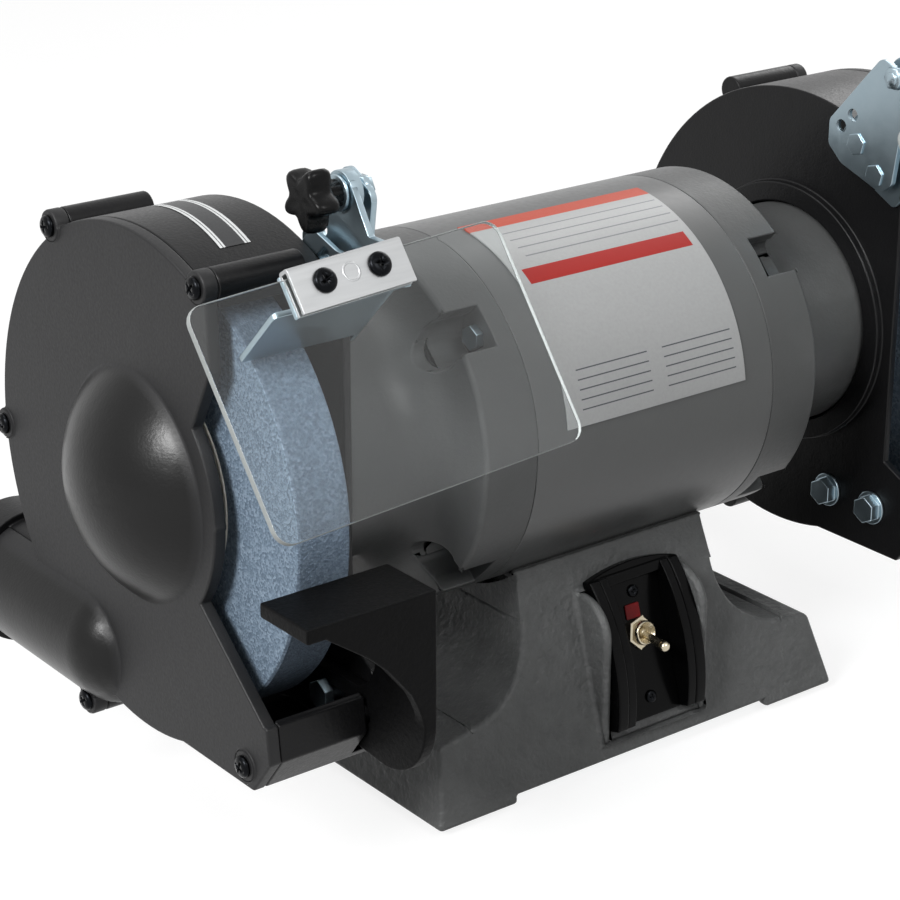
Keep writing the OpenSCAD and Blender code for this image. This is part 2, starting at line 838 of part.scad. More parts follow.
// The bright channel that folds over the top edge of the shield, with its two screws
module shield_clamp(s) {
    face = shield_t / 2 + lens_gap;
    color("#d9dbdc") side(s) at_lens() {
        difference() {
            translate([clamp_from, -face - sheet_t, -clamp_down])
                cube([clamp_to - clamp_from, 2 * face + 2 * sheet_t, clamp_down + clamp_up]);
            translate([clamp_from - 1, -face, -clamp_down - 1])
                cube([clamp_to - clamp_from + 2, 2 * face, clamp_down + clamp_up - sheet_t + 1]);
            for (x = clamp_screws) translate([x, -overrun, -5])
                rotate([-90, 0, 0]) cylinder(h = 20, r = 2.1);
        }
        for (x = clamp_screws) translate([x, 0, -5]) rotate([-90, 0, 0]) {
            translate([0, 0, -face - sheet_t - 2.6]) cylinder(h = 2.6, r = 5);
            translate([0, 0, -face - sheet_t - eps]) cylinder(h = 12, r = 2);
            translate([0, 0, face + sheet_t + 2.6]) cylinder(h = 3, r = 4.6, $fn = 6);
        }
    }
}

// A five-lobed knob on the pivot's bolt, turned round about the pivot for the left side
module shield_knob(turn) {
    hub_x = ear_x + ear_t + 1.7;
    head_x = hub_x + 6.5;
    color("#1d1d1e") at_shaft() translate([0, pivot_y, pivot_z]) rotate([0, 0, turn]) {
        rod_x(hub_x, head_x + eps, 6);
        rod_x(head_x, head_x + 11, 9);
        for (a = [0:72:288]) rotate([a, 0, 0]) translate([0, 9.4, 0]) rod_x(head_x, head_x + 11, 4.4);
        rod_x(arm_x - arm_t - 1, hub_x + eps, pivot_bolt_r);
        tube_x(ear_x + ear_t + 0.2, ear_x + ear_t + 1.7, 7.5, pivot_bolt_r - 0.1);
        hex_x(arm_x - arm_t - 5, arm_x - arm_t - 0.2, 5.7);
    }
}

// Tool rest: a table, a web under its front edge and a slotted arm that runs back to the guard

module tool_rest(s) {
    top = -rest_drop;
    arm_out = arm_in + rest_arm_t;
    tip = rest_back + rest_w;
    color("#262626") side(s) at_shaft() difference() {
        union() {
            translate([arm_in, rest_front, top - rest_t]) cube([tip - arm_in, rest_d, rest_t]);
            plate_y(rest_front, rest_front + web_t) polygon(concat(
                [[arm_in, top], [tip - 6, top], [tip - 9, top - rest_t]],
                [for (p = web_curve) [arm_out + p[0], top + p[1]]],
                [[arm_in, arm_bend_z]]
            ));
            plate_x(arm_in, arm_out) polygon(concat(
                [[rest_rear, top], [rest_front, top]],
                [for (a = [0:7.5:90]) [rest_front + arm_bend * (1 - cos(a)), arm_bend_z - arm_bend * sin(a)]],
                [[-14, -96], [-14, -76], [-88, -74], [-95, -70], [-100, -62], [rest_rear, -50]]
            ));
        }
        for (y = [rest_slot_rear, rest_slot_front]) translate([arm_in - 1, y, rest_bolt_z])
            rod_x(0, 10, rest_slot_w / 2);
        translate([arm_in - 1, rest_slot_front, rest_bolt_z - rest_slot_w / 2])
            cube([10, rest_slot_rear - rest_slot_front, rest_slot_w]);
    }
}

module rest_bolts(s) {
    arm_out = arm_in + rest_arm_t;
    color("#b9bcc0") side(s) at_shaft() for (y = rest_bolt_y) translate([0, y, rest_bolt_z]) {
        hex_x(guard_x - 6.5, guard_x - 1.5, 7);
        rod_x(guard_x - 1.5 - eps, guard_x, 8.5);
        rod_x(guard_x - eps, arm_out + 5, 4);
        hex_x(arm_out + 0.2, arm_out + 5, 7);
    }
}

// Switch

module switch_shroud() {
    half = shroud_w / 2;
    arc_y = fin_r - 14.4;
    arc_z = -7.2;
    floor_t = 1.6;
    low = -40.5;
    high = 31;
    crown = 4;
    crown_r = (pow(half, 2) + pow(crown, 2)) / (2 * crown);
    color("#141414") on_front_face() difference() {
        union() {
            translate([-half, -floor_t, low]) cube([shroud_w, floor_t, high - low]);
            intersection() {
                translate([-half, -5, high - 5]) cube([shroud_w, 5, crown + 5]);
                translate([0, 1, high + crown - crown_r]) rotate([90, 0, 0]) cylinder(h = 10, r = crown_r);
            }
            intersection() {
                translate([-half, -40, low]) cube([shroud_w, 40, high - low]);
                translate([0, arc_y, arc_z]) difference() {
                    rod_x(-half, half, fin_r);
                    rod_x(-half + fin_t, half - fin_t, fin_r + 1);
                }
            }
        }
        translate([0, 1, 0]) rotate([90, 0, 0]) cylinder(h = 10, r = 6.1);
        for (z = [-31, 20]) translate([0, 1, z]) rotate([90, 0, 0]) cylinder(h = 10, r = 1.6);
    }
}

module switch_body() {
    color("#a8a49a") on_front_face() {
        translate([-9, 6.2, -14]) cube([18, 20, 28]);
        difference() {
            rotate([90, 0, 0]) translate([0, 0, -6.25]) cylinder(h = 13.2, r = 5.9);
            rotate([90, 0, 0]) translate([0, 0, 1.5]) cylinder(h = 6, r1 = 2.6, r2 = 5.4);
        }
        difference() {
            translate([0, -1.6, 0]) rotate([90, 0, 0]) cylinder(h = 2.6, r = 8.1, $fn = 6);
            translate([0, 0, 0]) rotate([90, 0, 0]) cylinder(h = 6, r = 5.85);
        }
    }
}

module toggle_lever() {
    color("#c9b98f") on_front_face() translate([0, -4, 0]) rotate([90 + toggle_angle, 0, 0]) {
        sphere(r = 2, $fn = 48);
        cylinder(h = 15, r1 = 1.6, r2 = 2.3);
        translate([0, 0, 15]) sphere(r = 2.6, $fn = 48);
    }
}

// Cord

module strain_relief() {
    color("#1c1c1c") on_rear_face() rotate([-90, 0, 0]) difference() {
        union() {
            translate([0, 0, -10]) cylinder(h = 10.1, r = 8);
            cylinder(h = 3, r = 11);
            translate([0, 0, 3]) cylinder(h = 25, r1 = 8, r2 = 5.5);
        }
        translate([0, 0, -11]) cylinder(h = 9, r = cord_r);
    }
}

function unit(v) = v / norm(v);
function heading(route, i) =
    unit(route[min(i + 1, len(route) - 1)] - route[max(i - 1, 0)]);
function ring_points(route, i, n) =
    let (along = heading(route, i), across = unit(cross(along, [0, 0, 1])), over = cross(across, along))
    [for (k = [0:n - 1]) route[i] + cord_r * (cos(k * 360 / n) * across + sin(k * 360 / n) * over)];

module swept_cord(route) {
    n = 10;
    last = len(route) - 1;
    points = [for (i = [0:last]) each ring_points(route, i, n)];
    sides = [
        for (i = [0:last - 1], k = [0:n - 1])
            let (j = (k + 1) % n) each [
                [i * n + k, i * n + j, (i + 1) * n + k],
                [i * n + j, (i + 1) * n + j, (i + 1) * n + k]
            ]
    ];
    near_end = [for (k = [n - 1:-1:0]) k];
    far_end = [for (k = [0:n - 1]) last * n + k];
    polyhedron(points = points, faces = concat(sides, [near_end, far_end]));
}

module cord_lead() {
    color("#1a1a1a") swept_cord(lead_route);
}

module cord_tail() {
    color("#1a1a1a") swept_cord(tail_route);
}

module cord_coil() {
    r0 = coil_mid_r - coil_half;
    r1 = coil_mid_r + coil_half;
    top = cord_d + coil_rise;
    color("#1a1a1a") translate([coil_x, coil_y, 0]) rotate_extrude() polygon([
        [r0, cord_r / 2], [r0 + cord_r / 2, 0], [r1 - cord_r / 2, 0], [r1, cord_r / 2],
        [r1, cord_r * 1.5], [r1 - cord_r, top], [r0 + cord_r, top], [r0, cord_r * 1.5]
    ]);
}

module plug_body() {
    end = tail_route[len(tail_route) - 1];
    color("#1a1a1a") translate([end[0], end[1], 12]) rotate([90, 0, 0]) difference() {
        union() {
            cylinder(h = 12, r1 = 6, r2 = 8);
            intersection() {
                translate([0, 0, 12]) cylinder(h = plug_len - 12, r = 15);
                translate([-15, -12, 0]) cube([30, 24, plug_len]);
            }
        }
        translate([0, 0, -1]) cylinder(h = 5, r = cord_r);
    }
}

module plug_blades() {
    end = tail_route[len(tail_route) - 1];
    color("#c8b273") translate([end[0], end[1] - plug_len, 12]) {
        for (x = [-6.35, 6.35]) translate([x - 0.75, -18, -5]) cube([1.5, 18, 6.5]);
        translate([0, 0, 7]) rotate([90, 0, 0]) cylinder(h = 19, r = 2.4);
    }
}

base_casting();
bottom_plate();
rubber_feet();
saddle_bolts();
motor_shell();
nameplate();
end_bell(180);  // end_bell_left
end_bell(0);  // end_bell_right
through_bolts();
stator_core();
stator_windings();
rotor_core();
shaft();
bearing_outer_races();
bearing_inner_races();
start_governor();
start_contacts();
capacitor();
wheel(left);  // wheel_left
wheel(right);  // wheel_right
blotters();
inner_flange(left);  // inner_flange_left
inner_flange(right);  // inner_flange_right
outer_flange(left);  // outer_flange_left
outer_flange(right);  // outer_flange_right
arbor_nut(left);  // arbor_nut_left
arbor_nut(right);  // arbor_nut_right
guard_body(left);  // guard_body_left
guard_body(right);  // guard_body_right
guard_cover(left);  // guard_cover_left
guard_cover(right);  // guard_cover_right
guard_screws(left);  // guard_screws_left
guard_screws(right);  // guard_screws_right
spark_guard(left);  // spark_guard_left
spark_guard(right);  // spark_guard_right
bracket_bolts(left);  // bracket_bolts_left
bracket_bolts(right);  // bracket_bolts_right
shield_arm(left);  // shield_arm_left
shield_arm(right);  // shield_arm_right
shield_hinge(left);  // shield_hinge_left
shield_hinge(right);  // shield_hinge_right
shield_lens(left);  // shield_lens_left
shield_lens(right);  // shield_lens_right
shield_clamp(left);  // shield_clamp_left
shield_clamp(right);  // shield_clamp_right
shield_knob(180);  // shield_knob_left
shield_knob(0);  // shield_knob_right
tool_rest(left);  // tool_rest_left
tool_rest(right);  // tool_rest_right
rest_bolts(left);  // rest_bolts_left
rest_bolts(right);  // rest_bolts_right
switch_shroud();
switch_body();
toggle_lever();
strain_relief();
cord_lead();
cord_coil();
cord_tail();
plug_body();
plug_blades();
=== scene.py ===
# Bench grinder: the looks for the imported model, with +X along the shaft, -Y towards the operator, +Z up
# and the origin on the bench under the motor. Blender works in metres. The pieces' settings are in
# millimetres, and those of the camera, the floor and the lamps in metres.
import bpy
import bmesh
import json
import math
from mathutils import Matrix, Vector


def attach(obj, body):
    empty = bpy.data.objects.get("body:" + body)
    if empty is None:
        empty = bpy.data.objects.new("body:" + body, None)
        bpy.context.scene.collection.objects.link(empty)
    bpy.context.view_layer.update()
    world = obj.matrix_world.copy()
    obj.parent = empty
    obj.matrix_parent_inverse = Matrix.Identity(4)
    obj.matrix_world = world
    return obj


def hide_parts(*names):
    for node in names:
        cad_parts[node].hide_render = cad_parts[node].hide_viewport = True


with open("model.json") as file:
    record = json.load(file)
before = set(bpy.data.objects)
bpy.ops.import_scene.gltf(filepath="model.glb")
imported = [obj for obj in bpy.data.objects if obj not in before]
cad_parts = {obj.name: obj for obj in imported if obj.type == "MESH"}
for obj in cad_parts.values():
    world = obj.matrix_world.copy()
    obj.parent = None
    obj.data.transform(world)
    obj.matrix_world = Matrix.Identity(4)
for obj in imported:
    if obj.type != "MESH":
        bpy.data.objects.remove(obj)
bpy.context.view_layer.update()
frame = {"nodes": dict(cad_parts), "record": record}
shaftHeight = 168  # from the bench to the shaft's axis
sides = {"left": -1, "right": 1}
print("frame loaded:", len(frame["nodes"]), "nodes")


def linked(name, data):
    item = bpy.data.objects.new(name, data)
    bpy.context.scene.collection.objects.link(item)
    return item


# Camera

cameraLook = {
    "location": (-0.72765, -0.87396, 0.57978),
    "turnDegrees": 37.64,
    "dropDegrees": 21.57,
    "lens": 103.2,
}


def makeCamera(look):
    data = bpy.data.cameras.new("camera")
    data.lens = look["lens"]
    data.sensor_width = 36
    data.clip_start = 0.01
    camera = linked("camera", data)
    turn, drop = math.radians(look["turnDegrees"]), math.radians(look["dropDegrees"])
    aim = Vector((math.sin(turn) * math.cos(drop), math.cos(turn) * math.cos(drop), -math.sin(drop)))
    camera.location = look["location"]
    camera.rotation_euler = aim.to_track_quat("-Z", "Y").to_euler()
    bpy.context.scene.camera = camera


makeCamera(cameraLook)


# Small tools for placing

def mm(value):
    return value / 1000


def shifted(x=0, y=0, z=0):
    return Matrix.Translation((mm(x), mm(y), mm(z)))


def rotated(degrees, axis):
    return Matrix.Rotation(math.radians(degrees), 4, axis)


# Moves the origin to a place in millimetres and turns local Z to an aim
def placed(at, aim):
    return Matrix.Translation(Vector(at) / 1000) @ Vector(aim).to_track_quat("Z", "Y").to_matrix().to_4x4()


# Local X runs outwards along the shaft on the side s, and Z starts from the shaft's axis
def shaftFrame(s):
    return Matrix.Diagonal((sides[s], 1, 1, 1)) @ shifted(0, 0, shaftHeight)


standUp = rotated(90, "X")  # an outline of (x, z) points is drawn out along -Y
alongX = Matrix(((0, 0, 1, 0), (1, 0, 0, 0), (0, 1, 0, 0), (0, 0, 0, 1)))  # one of (y, z) points, along X


# Small tools for materials

def linearColour(hexCode):
    parts = [int(hexCode[i:i + 2], 16) / 255 for i in (1, 3, 5)]
    return tuple(v / 12.92 if v <= 0.04045 else ((v + 0.055) / 1.055) ** 2.4 for v in parts) + (1.0,)


# Feeds a node's inputs, each from a socket or from the first output of another node
def feed(tree, node, links):
    for key, source in links.items():
        tree.links.new(source.outputs[0] if isinstance(source, bpy.types.Node) else source, node.inputs[key])


def addNode(tree, kind, settings=None, links=None):
    node = tree.nodes.new("ShaderNode" + kind)
    for key, value in (settings or {}).items():
        if isinstance(key, str) and hasattr(node, key):
            setattr(node, key, value)
        else:
            node.inputs[key].default_value = value
    feed(tree, node, links or {})
    return node


def emptyTree(owner):
    owner.use_nodes = True
    owner.node_tree.nodes.clear()
    return owner.node_tree


# A new material with its shader, and the object's own coordinates in metres
def startMaterial(name, settings):
    material = bpy.data.materials.new(name)
    tree = emptyTree(material)
    shader = addNode(tree, "BsdfPrincipled", settings)
    addNode(tree, "OutputMaterial", None, {"Surface": shader})
    place = addNode(tree, "TexCoord").outputs["Object"]
    return material, tree, shader, place


# Colour that wanders between the shade and the colour with a pattern
def mottled(tree, look, pattern):
    colours = {6: linearColour(look["shade"]), 7: linearColour(look["colour"])}
    return addNode(tree, "Mix", {"data_type": "RGBA", **colours}, {0: pattern}).outputs[2]


# Roughness that wanders across its spread, where noise keeps mostly between 0.25 and 0.75
def patchyGloss(tree, look, pattern):
    low, high = look["roughness"] - look["spread"] / 2, look["roughness"] + look["spread"] / 2
    return addNode(tree, "MapRange", {"From Min": 0.25, "From Max": 0.75, "To Min": low, "To Max": high},
                   {"Value": pattern})


# A plain finish takes its colour, its roughness and its relief from one pattern
def plainFinish(tree, shader, look, pattern):
    relief = addNode(tree, "Bump", {"Distance": mm(look["depthMm"]), "Strength": 1.0}, {"Height": pattern})
    feed(tree, shader, {"Base Color": mottled(tree, look, pattern),
                        "Roughness": patchyGloss(tree, look, pattern), "Normal": relief})


# Small tools for shapes

def intoMesh(bm, name="shape"):
    mesh = bpy.data.meshes.new(name)
    bm.to_mesh(mesh)
    bm.free()
    return mesh


# Several copies of shapes, each moved by its own matrix, in one mesh
def gathered(copies, name="shape"):
    bm = bmesh.new()
    for mesh, move in copies:
        before = set(bm.verts)
        bm.from_mesh(mesh)
        fresh = set(bm.verts) - before
        bmesh.ops.transform(bm, matrix=move, verts=list(fresh))
        if move.determinant() < 0:
            bmesh.ops.reverse_faces(bm, faces=[f for f in bm.faces if f.verts[0] in fresh])
    return intoMesh(bm, name)


# A piece is one mesh or curve, or a list of meshes with their matrices. The weighed shading keeps its broad
# faces flat beside a rounded edge.
def newPiece(name, shape, material, body, replaced=(), shading="weighed"):
    data = gathered(shape, name) if isinstance(shape, list) else shape
    piece = linked(name, data)
    data.materials.clear()
    data.materials.append(material)
    if hasattr(data, "polygons"):
        data.polygons.foreach_set("use_smooth", [shading != "flat"] * len(data.polygons))
    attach(piece, body)
    if replaced:
        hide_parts(*replaced)
    if shading == "weighed":
        weigh = piece.modifiers.new("weigh", "WEIGHTED_NORMAL")
        weigh.keep_sharp = False
        weigh.weight = 90
    return piece


# Cuts one mesh with another
def cutAway(mesh, cutter):
    solid, tool = linked("solid", mesh), linked("tool", cutter)
    cut = solid.modifiers.new("cut", "BOOLEAN")
    cut.operation = "DIFFERENCE"
    cut.object = tool
    cut.solver = "EXACT"
    bpy.context.view_layer.update()
    result = bpy.data.meshes.new_from_object(solid.evaluated_get(bpy.context.evaluated_depsgraph_get()))
    for item in (solid, tool):
        bpy.data.objects.remove(item)
    return result


# A shell through rings of points, where a ring of one point is a tip
def ringShell(rings, capped=False):
    bm = bmesh.new()
    rings = [[bm.verts.new(point) for point in ring] for ring in rings]
    for a, b in zip(rings, rings[1:]):
        for k in range(max(len(a), len(b))):
            corners = (a[k % len(a)], a[(k + 1) % len(a)], b[(k + 1) % len(b)], b[k % len(b)])
            bm.faces.new(list(dict.fromkeys(corners)))
    if capped:
        bm.faces.new(rings[0])
        bm.faces.new(rings[-1])
    bmesh.ops.recalc_face_normals(bm, faces=bm.faces)
    return intoMesh(bm)


# A profile of (radius, height) turned about local Z. For lobes and ribs a radius is a function of the turn.
def turnedShape(profile, steps=48):
    rings = []
    for radius, along in profile:
        turns = [2 * math.pi * k / steps for k in range(1 if radius == 0 else steps)]
        reach = [mm(radius(t) if callable(radius) else radius) for t in turns]
        rings.append([(r * math.cos(t), r * math.sin(t), mm(along)) for r, t in zip(reach, turns)])
    return ringShell(rings)


# Rounds the corners of a flat outline of (x, y, radius) points
def roundedOutline(corners, steps=5):
    points = []
    for i, (x, y, radius) in enumerate(corners):
        here = Vector((x, y))
        toBack = (Vector(corners[i - 1][:2]) - here).normalized()
        toNext = (Vector(corners[(i + 1) % len(corners)][:2]) - here).normalized()
        half = toBack.angle(toNext) / 2
        if radius <= 0 or half > 1.5:  # a corner that is nearly straight stays as it is
            points.append(here)
            continue
        middle = here + (toBack + toNext).normalized() * radius / math.sin(half)
        start = here + toBack * radius / math.tan(half) - middle
        finish = here + toNext * radius / math.tan(half) - middle
        sweep = start.angle_signed(finish)
        points += [middle + Matrix.Rotation(-sweep * k / steps, 2) @ start for k in range(steps + 1)]
    return points


def roundedBox(x0, x1, z0, z1, radius):
    return [(x0, z0, radius), (x1, z0, radius), (x1, z1, radius), (x0, z1, radius)]


# A flat outline drawn out along local Z, with the edges all round its two faces eased
def pressedPlate(corners, low, high, ease=0.35, easeSteps=2):
    bm = bmesh.new()
    outline = roundedOutline(corners)
    base = bm.faces.new([bm.verts.new((mm(p[0]), mm(p[1]), mm(low))) for p in outline])
    drawn = bmesh.ops.extrude_face_region(bm, geom=[base])
    fresh = [v for v in drawn["geom"] if isinstance(v, bmesh.types.BMVert)]
    bmesh.ops.translate(bm, vec=(0, 0, mm(high - low)), verts=fresh)
    bmesh.ops.recalc_face_normals(bm, faces=bm.faces)
    level = [e for e in bm.edges if abs(e.verts[0].co.z - e.verts[1].co.z) < 1e-7]
    bmesh.ops.bevel(bm, geom=[e for e in level if e.calc_face_angle(0) > 1.2], offset=mm(ease),
                    segments=easeSteps, profile=0.5, affect="EDGES", clamp_overlap=False)
    return intoMesh(bm)


# Round pins, from (x, y, radius), that drill through a plate along local Z
def drillPins(holes, low, high):
    bm = bmesh.new()
    for x, y, radius in holes:
        bmesh.ops.create_cone(bm, cap_ends=True, segments=32, radius1=mm(radius), radius2=mm(radius),
                              depth=mm(high - low), matrix=shifted(x, y, (low + high) / 2))
    return intoMesh(bm)


# Cord: PVC-sheathed mains flex, extruded, so it is smooth and softly glossy black

cordLook = {
    "diameter": 0.008, "exit": (0.045, 0.1015, 0.036),
    "lead": [
        (45, 101.5, 36), (45, 110, 38), (45, 119, 39), (45, 129, 37), (45, 138, 31), (45, 146, 23),
        (45, 153, 15), (45, 161, 9), (44, 171, 5), (41, 181, 4), (36, 190, 4), (29, 199, 4),
        (20, 207, 4), (9, 213, 4), (-3, 217, 4), (-16, 220, 4),
    ],
    "coilCentre": (-30, 165), "coilStart": 90, "stepDegrees": 15,
    "coil": [(1080, 56, 32, 4, 4), (120, 32, 32, 4, 12), (960, 32, 53.33, 12, 12)],  # degrees, radii, heights
    "tail": [
        (-30, 218.3, 12), (-44, 217, 12), (-58, 213, 12), (-71, 207, 11), (-83, 199, 9), (-92, 190, 6),
        (-99, 178, 5), (-104, 166, 7), (-106, 156, 10), (-106, 146, 12),
    ],
    "colour": "#17181a", "roughness": (0.36, 0.5), "ior": 1.53, "grainMm": 3,
}


def extrudedPvc(look):
    material, tree, shader, place = startMaterial(
        "extruded_black_pvc", {"Base Color": linearColour(look["colour"]), "IOR": look["ior"]})
    grain = addNode(tree, "TexNoise", {"Scale": 1 / mm(look["grainMm"]), "Detail": 3.0}, {"Vector": place})
    low, high = look["roughness"]
    gloss = addNode(tree, "MapRange", {"To Min": low, "To Max": high}, {"Value": grain})
    feed(tree, shader, {"Roughness": gloss})
    return material


def cordRoute(look):
    (cx, cy), turned = look["coilCentre"], look["coilStart"]
    points = list(look["lead"])
    for degrees, radiusFrom, radiusTo, heightFrom, heightTo in look["coil"]:
        for k in range(0, degrees, look["stepDegrees"]):
            share, angle = k / degrees, math.radians(turned + k)
            radius = radiusFrom + (radiusTo - radiusFrom) * share
            height = heightFrom + (heightTo - heightFrom) * share * share * (3 - 2 * share)
            points.append((cx + radius * math.cos(angle), cy + radius * math.sin(angle), height))
        turned += degrees
    return [tuple(mm(v) for v in p) for p in points + look["tail"]]


# The plug is moulded on to the cord: a waisted body with finger grooves across both broad sides
plugLook = {
    "at": (-106, 146, 12), "length": 36, "width": 30, "height": 24, "squareness": 0.55, "steps": 40,
    "waist": [(0, 0.45), (1.2, 0.52), (5, 0.6), (9, 0.78), (13, 0.93), (17, 1.0)],  # along, share of the size
    "thickerBelow": 0.9, "thicker": 0.04, "grooves": 5, "grooveSize": 0.955, "grip": (18, 35),
}


def makePlug(look, material):
    rows, (gripFrom, gripTo) = list(look["waist"]), look["grip"]
    count = look["grooves"] * 4
    for k in range(count):
        rows.append((gripFrom + k * (gripTo - gripFrom) / count, 1.0 if k % 4 < 2 else look["grooveSize"]))
    rows += [(look["length"] - 0.8, 1.0), (look["length"], 0.95)]
    loop = []
    for k in range(look["steps"]):
        turn = 2 * math.pi * k / look["steps"]
        corner = (math.cos(turn), math.sin(turn))
        loop.append([math.copysign(abs(v) ** look["squareness"], v) / 2 for v in corner])
    rings = []
    for along, size in rows:
        wide = look["width"] * size
        high = look["height"] * (size + look["thicker"] * (size < look["thickerBelow"]))
        rings.append([(mm(x * wide), -mm(along), mm(z * high)) for x, z in loop])
    plug = [(ringShell(rings, capped=True), shifted(*look["at"]))]
    return newPiece("plug_moulding", plug, material, "housing", ("plug_body",))


# The boot tapers along the cord in ribs, so that the cord bends gently where it leaves the base
bootLook = {
    "at": (45, 74.35, 28), "riseDegrees": 17.02,
    "flange": [(0, 0), (10, 0), (11, 0.6), (11, 1.6), (10, 2.4), (8.4, 2.8)],
    "ribs": 6, "ribSpan": (3.6, 27.1), "ribRadius": 8, "taper": 2.4,
    "rib": [(0, 0), (0, 0.55), (1.1, 0.68), (1.1, 0.9)],  # in from its radius, along as a share of the pitch
    "tip": [(5.5, 27), (5, 28), (0, 28)],
}


def makeBoot(look, material):
    profile, (start, end) = list(look["flange"]), look["ribSpan"]
    pitch = (end - start) / look["ribs"]
    for k in range(look["ribs"]):
        wide = look["ribRadius"] - look["taper"] * k / look["ribs"]
        profile += [(wide - inwards, start + (k + share) * pitch) for inwards, share in look["rib"]]
    rise = math.radians(look["riseDegrees"])
    boot = [(turnedShape(profile + look["tip"], 40), placed(look["at"], (0, math.cos(rise), math.sin(rise))))]
    newPiece("cord_boot", boot, material, "housing", ("strain_relief",))


def makeCord(look):
    route = cordRoute(look)
    curve = bpy.data.curves.new("mainsCord", "CURVE")
    curve.dimensions = "3D"
    curve.bevel_depth = look["diameter"] / 2
    curve.bevel_resolution = 4
    curve.use_fill_caps = True
    spline = curve.splines.new("POLY")
    spline.points.add(len(route) - 1)
    for point, at in zip(spline.points, route):
        point.co = (*at, 1)
    pvc = extrudedPvc(look)
    piece = newPiece("mains_cord", curve, pvc, "housing", ("cord_lead", "cord_coil", "cord_tail"),
                     shading="smooth")
    plug = makePlug(plugLook, pvc)
    makeBoot(bootLook, pvc)


makeCord(cordLook)


# Enamel sprayed on castings and sheet: the colour mottles a little, and the film follows the metal's skin

enamels = {
    "greyCasting": {
        "name": "sprayed_grey_enamel_on_sand_cast_iron",  # a lumpy granular skin under a satin film
        "colour": "#676868", "shade": "#4c4d4d", "roughness": 0.44, "spread": 0.14, "ior": 1.5,
        "grainMm": 3.4, "grainDepthMm": 1.0, "waveMm": 12, "waveDepthMm": 1.0, "shine": 0.2,
    },
    "greySheet": {
        "name": "sprayed_grey_enamel_on_rolled_steel",  # smoother, with a faint orange peel
        "colour": "#535454", "shade": "#4b4c4c", "roughness": 0.33, "spread": 0.08, "ior": 1.5,
        "grainMm": 2.6, "grainDepthMm": 0.03, "waveMm": 40, "waveDepthMm": 0.12, "shine": 0.4,
    },
    "greyBell": {
        "name": "sprayed_grey_enamel_on_die_cast_bell",  # between the two: an even, fine grained skin
        "colour": "#525353", "shade": "#464747", "roughness": 0.4, "spread": 0.1, "ior": 1.5,
        "grainMm": 1.6, "grainDepthMm": 0.09, "waveMm": 26, "waveDepthMm": 0.3, "shine": 0.25,
    },
    "blackGuard": {
        "name": "black_powder_coat_on_cast_guard",  # a deep satin black with a fine pebble
        "colour": "#131314", "shade": "#0d0d0e", "roughness": 0.36, "spread": 0.1, "ior": 1.46,
        "grainMm": 1.3, "grainDepthMm": 0.09, "waveMm": 24, "waveDepthMm": 0.3, "shine": 0.2,
    },
    "blackCover": {
        "name": "black_powder_coat_on_pressed_cover",  # dull on its flat face and glossier on the domes, which are painted near black as painted shade
        "colour": "#1c1c1d", "shade": "#161617", "roughness": 0.5, "spread": 0.1, "ior": 1.46,
        "grainMm": 1.5, "grainDepthMm": 0.06, "waveMm": 26, "waveDepthMm": 0.2, "shine": 0.33,
        "domesPaintedShadeAndGloss": {"from": 221.2, "to": 224.5, "colour": "#030303", "roughness": 0.3},
    },
    "blackRest": {
        "name": "black_paint_on_cast_iron",  # a dull rough black, greyer where it rubs
        "colour": "#080809", "shade": "#050505", "roughness": 0.5, "spread": 0.14, "ior": 1.46,
        "grainMm": 1.6, "grainDepthMm": 0.16, "waveMm": 12, "waveDepthMm": 0.3, "shine": 0.08,
    },
}


def sprayedEnamel(look):
    material, tree, shader, place = startMaterial(
        look["name"], {"IOR": look["ior"], "Specular IOR Level": look["shine"]})
    mottle = addNode(tree, "TexNoise", {"Scale": 1 / mm(look["waveMm"]), "Detail": 5.0, "Roughness": 0.6},
                     {"Vector": place})
    grain = addNode(tree, "TexNoise", {"Scale": 1 / mm(look["grainMm"]), "Detail": 2.0, "Roughness": 0.5},
                    {"Vector": place})
    tone, gloss = mottled(tree, look, mottle), patchyGloss(tree, look, grain)
    wave = addNode(tree, "Bump", {"Distance": mm(look["waveDepthMm"]), "Strength": 1.0}, {"Height": mottle})
    skin = addNode(tree, "Bump", {"Distance": mm(look["grainDepthMm"]), "Strength": 1.0},
                   {"Height": grain, "Normal": wave})
    if "domesPaintedShadeAndGloss" in look:  # the part of a cover that stands proud of its flat face
        domesPaintedShadeAndGloss = look["domesPaintedShadeAndGloss"]
        axes = addNode(tree, "SeparateXYZ", None, {0: place})
        out = addNode(tree, "Math", {"operation": "ABSOLUTE"}, {0: axes})
        proud = addNode(tree, "MapRange", {"From Min": mm(domesPaintedShadeAndGloss["from"]), "From Max": mm(domesPaintedShadeAndGloss["to"])},
                        {"Value": out})
        # painted shade: the domes take a near-black colour, darker than the flat face; their lower roughness
        # is real gloss
        tone = addNode(tree, "Mix", {"data_type": "RGBA", 7: linearColour(domesPaintedShadeAndGloss["colour"])},
                       {0: proud, 6: tone}).outputs[2]
        gloss = addNode(tree, "Mix", {"data_type": "FLOAT", 3: domesPaintedShadeAndGloss["roughness"]}, {0: proud, 2: gloss})
    feed(tree, shader, {"Base Color": tone, "Roughness": gloss, "Normal": skin})
    return material


enamel = {key: sprayedEnamel(look) for key, look in enamels.items()}


# Bare and plated metals

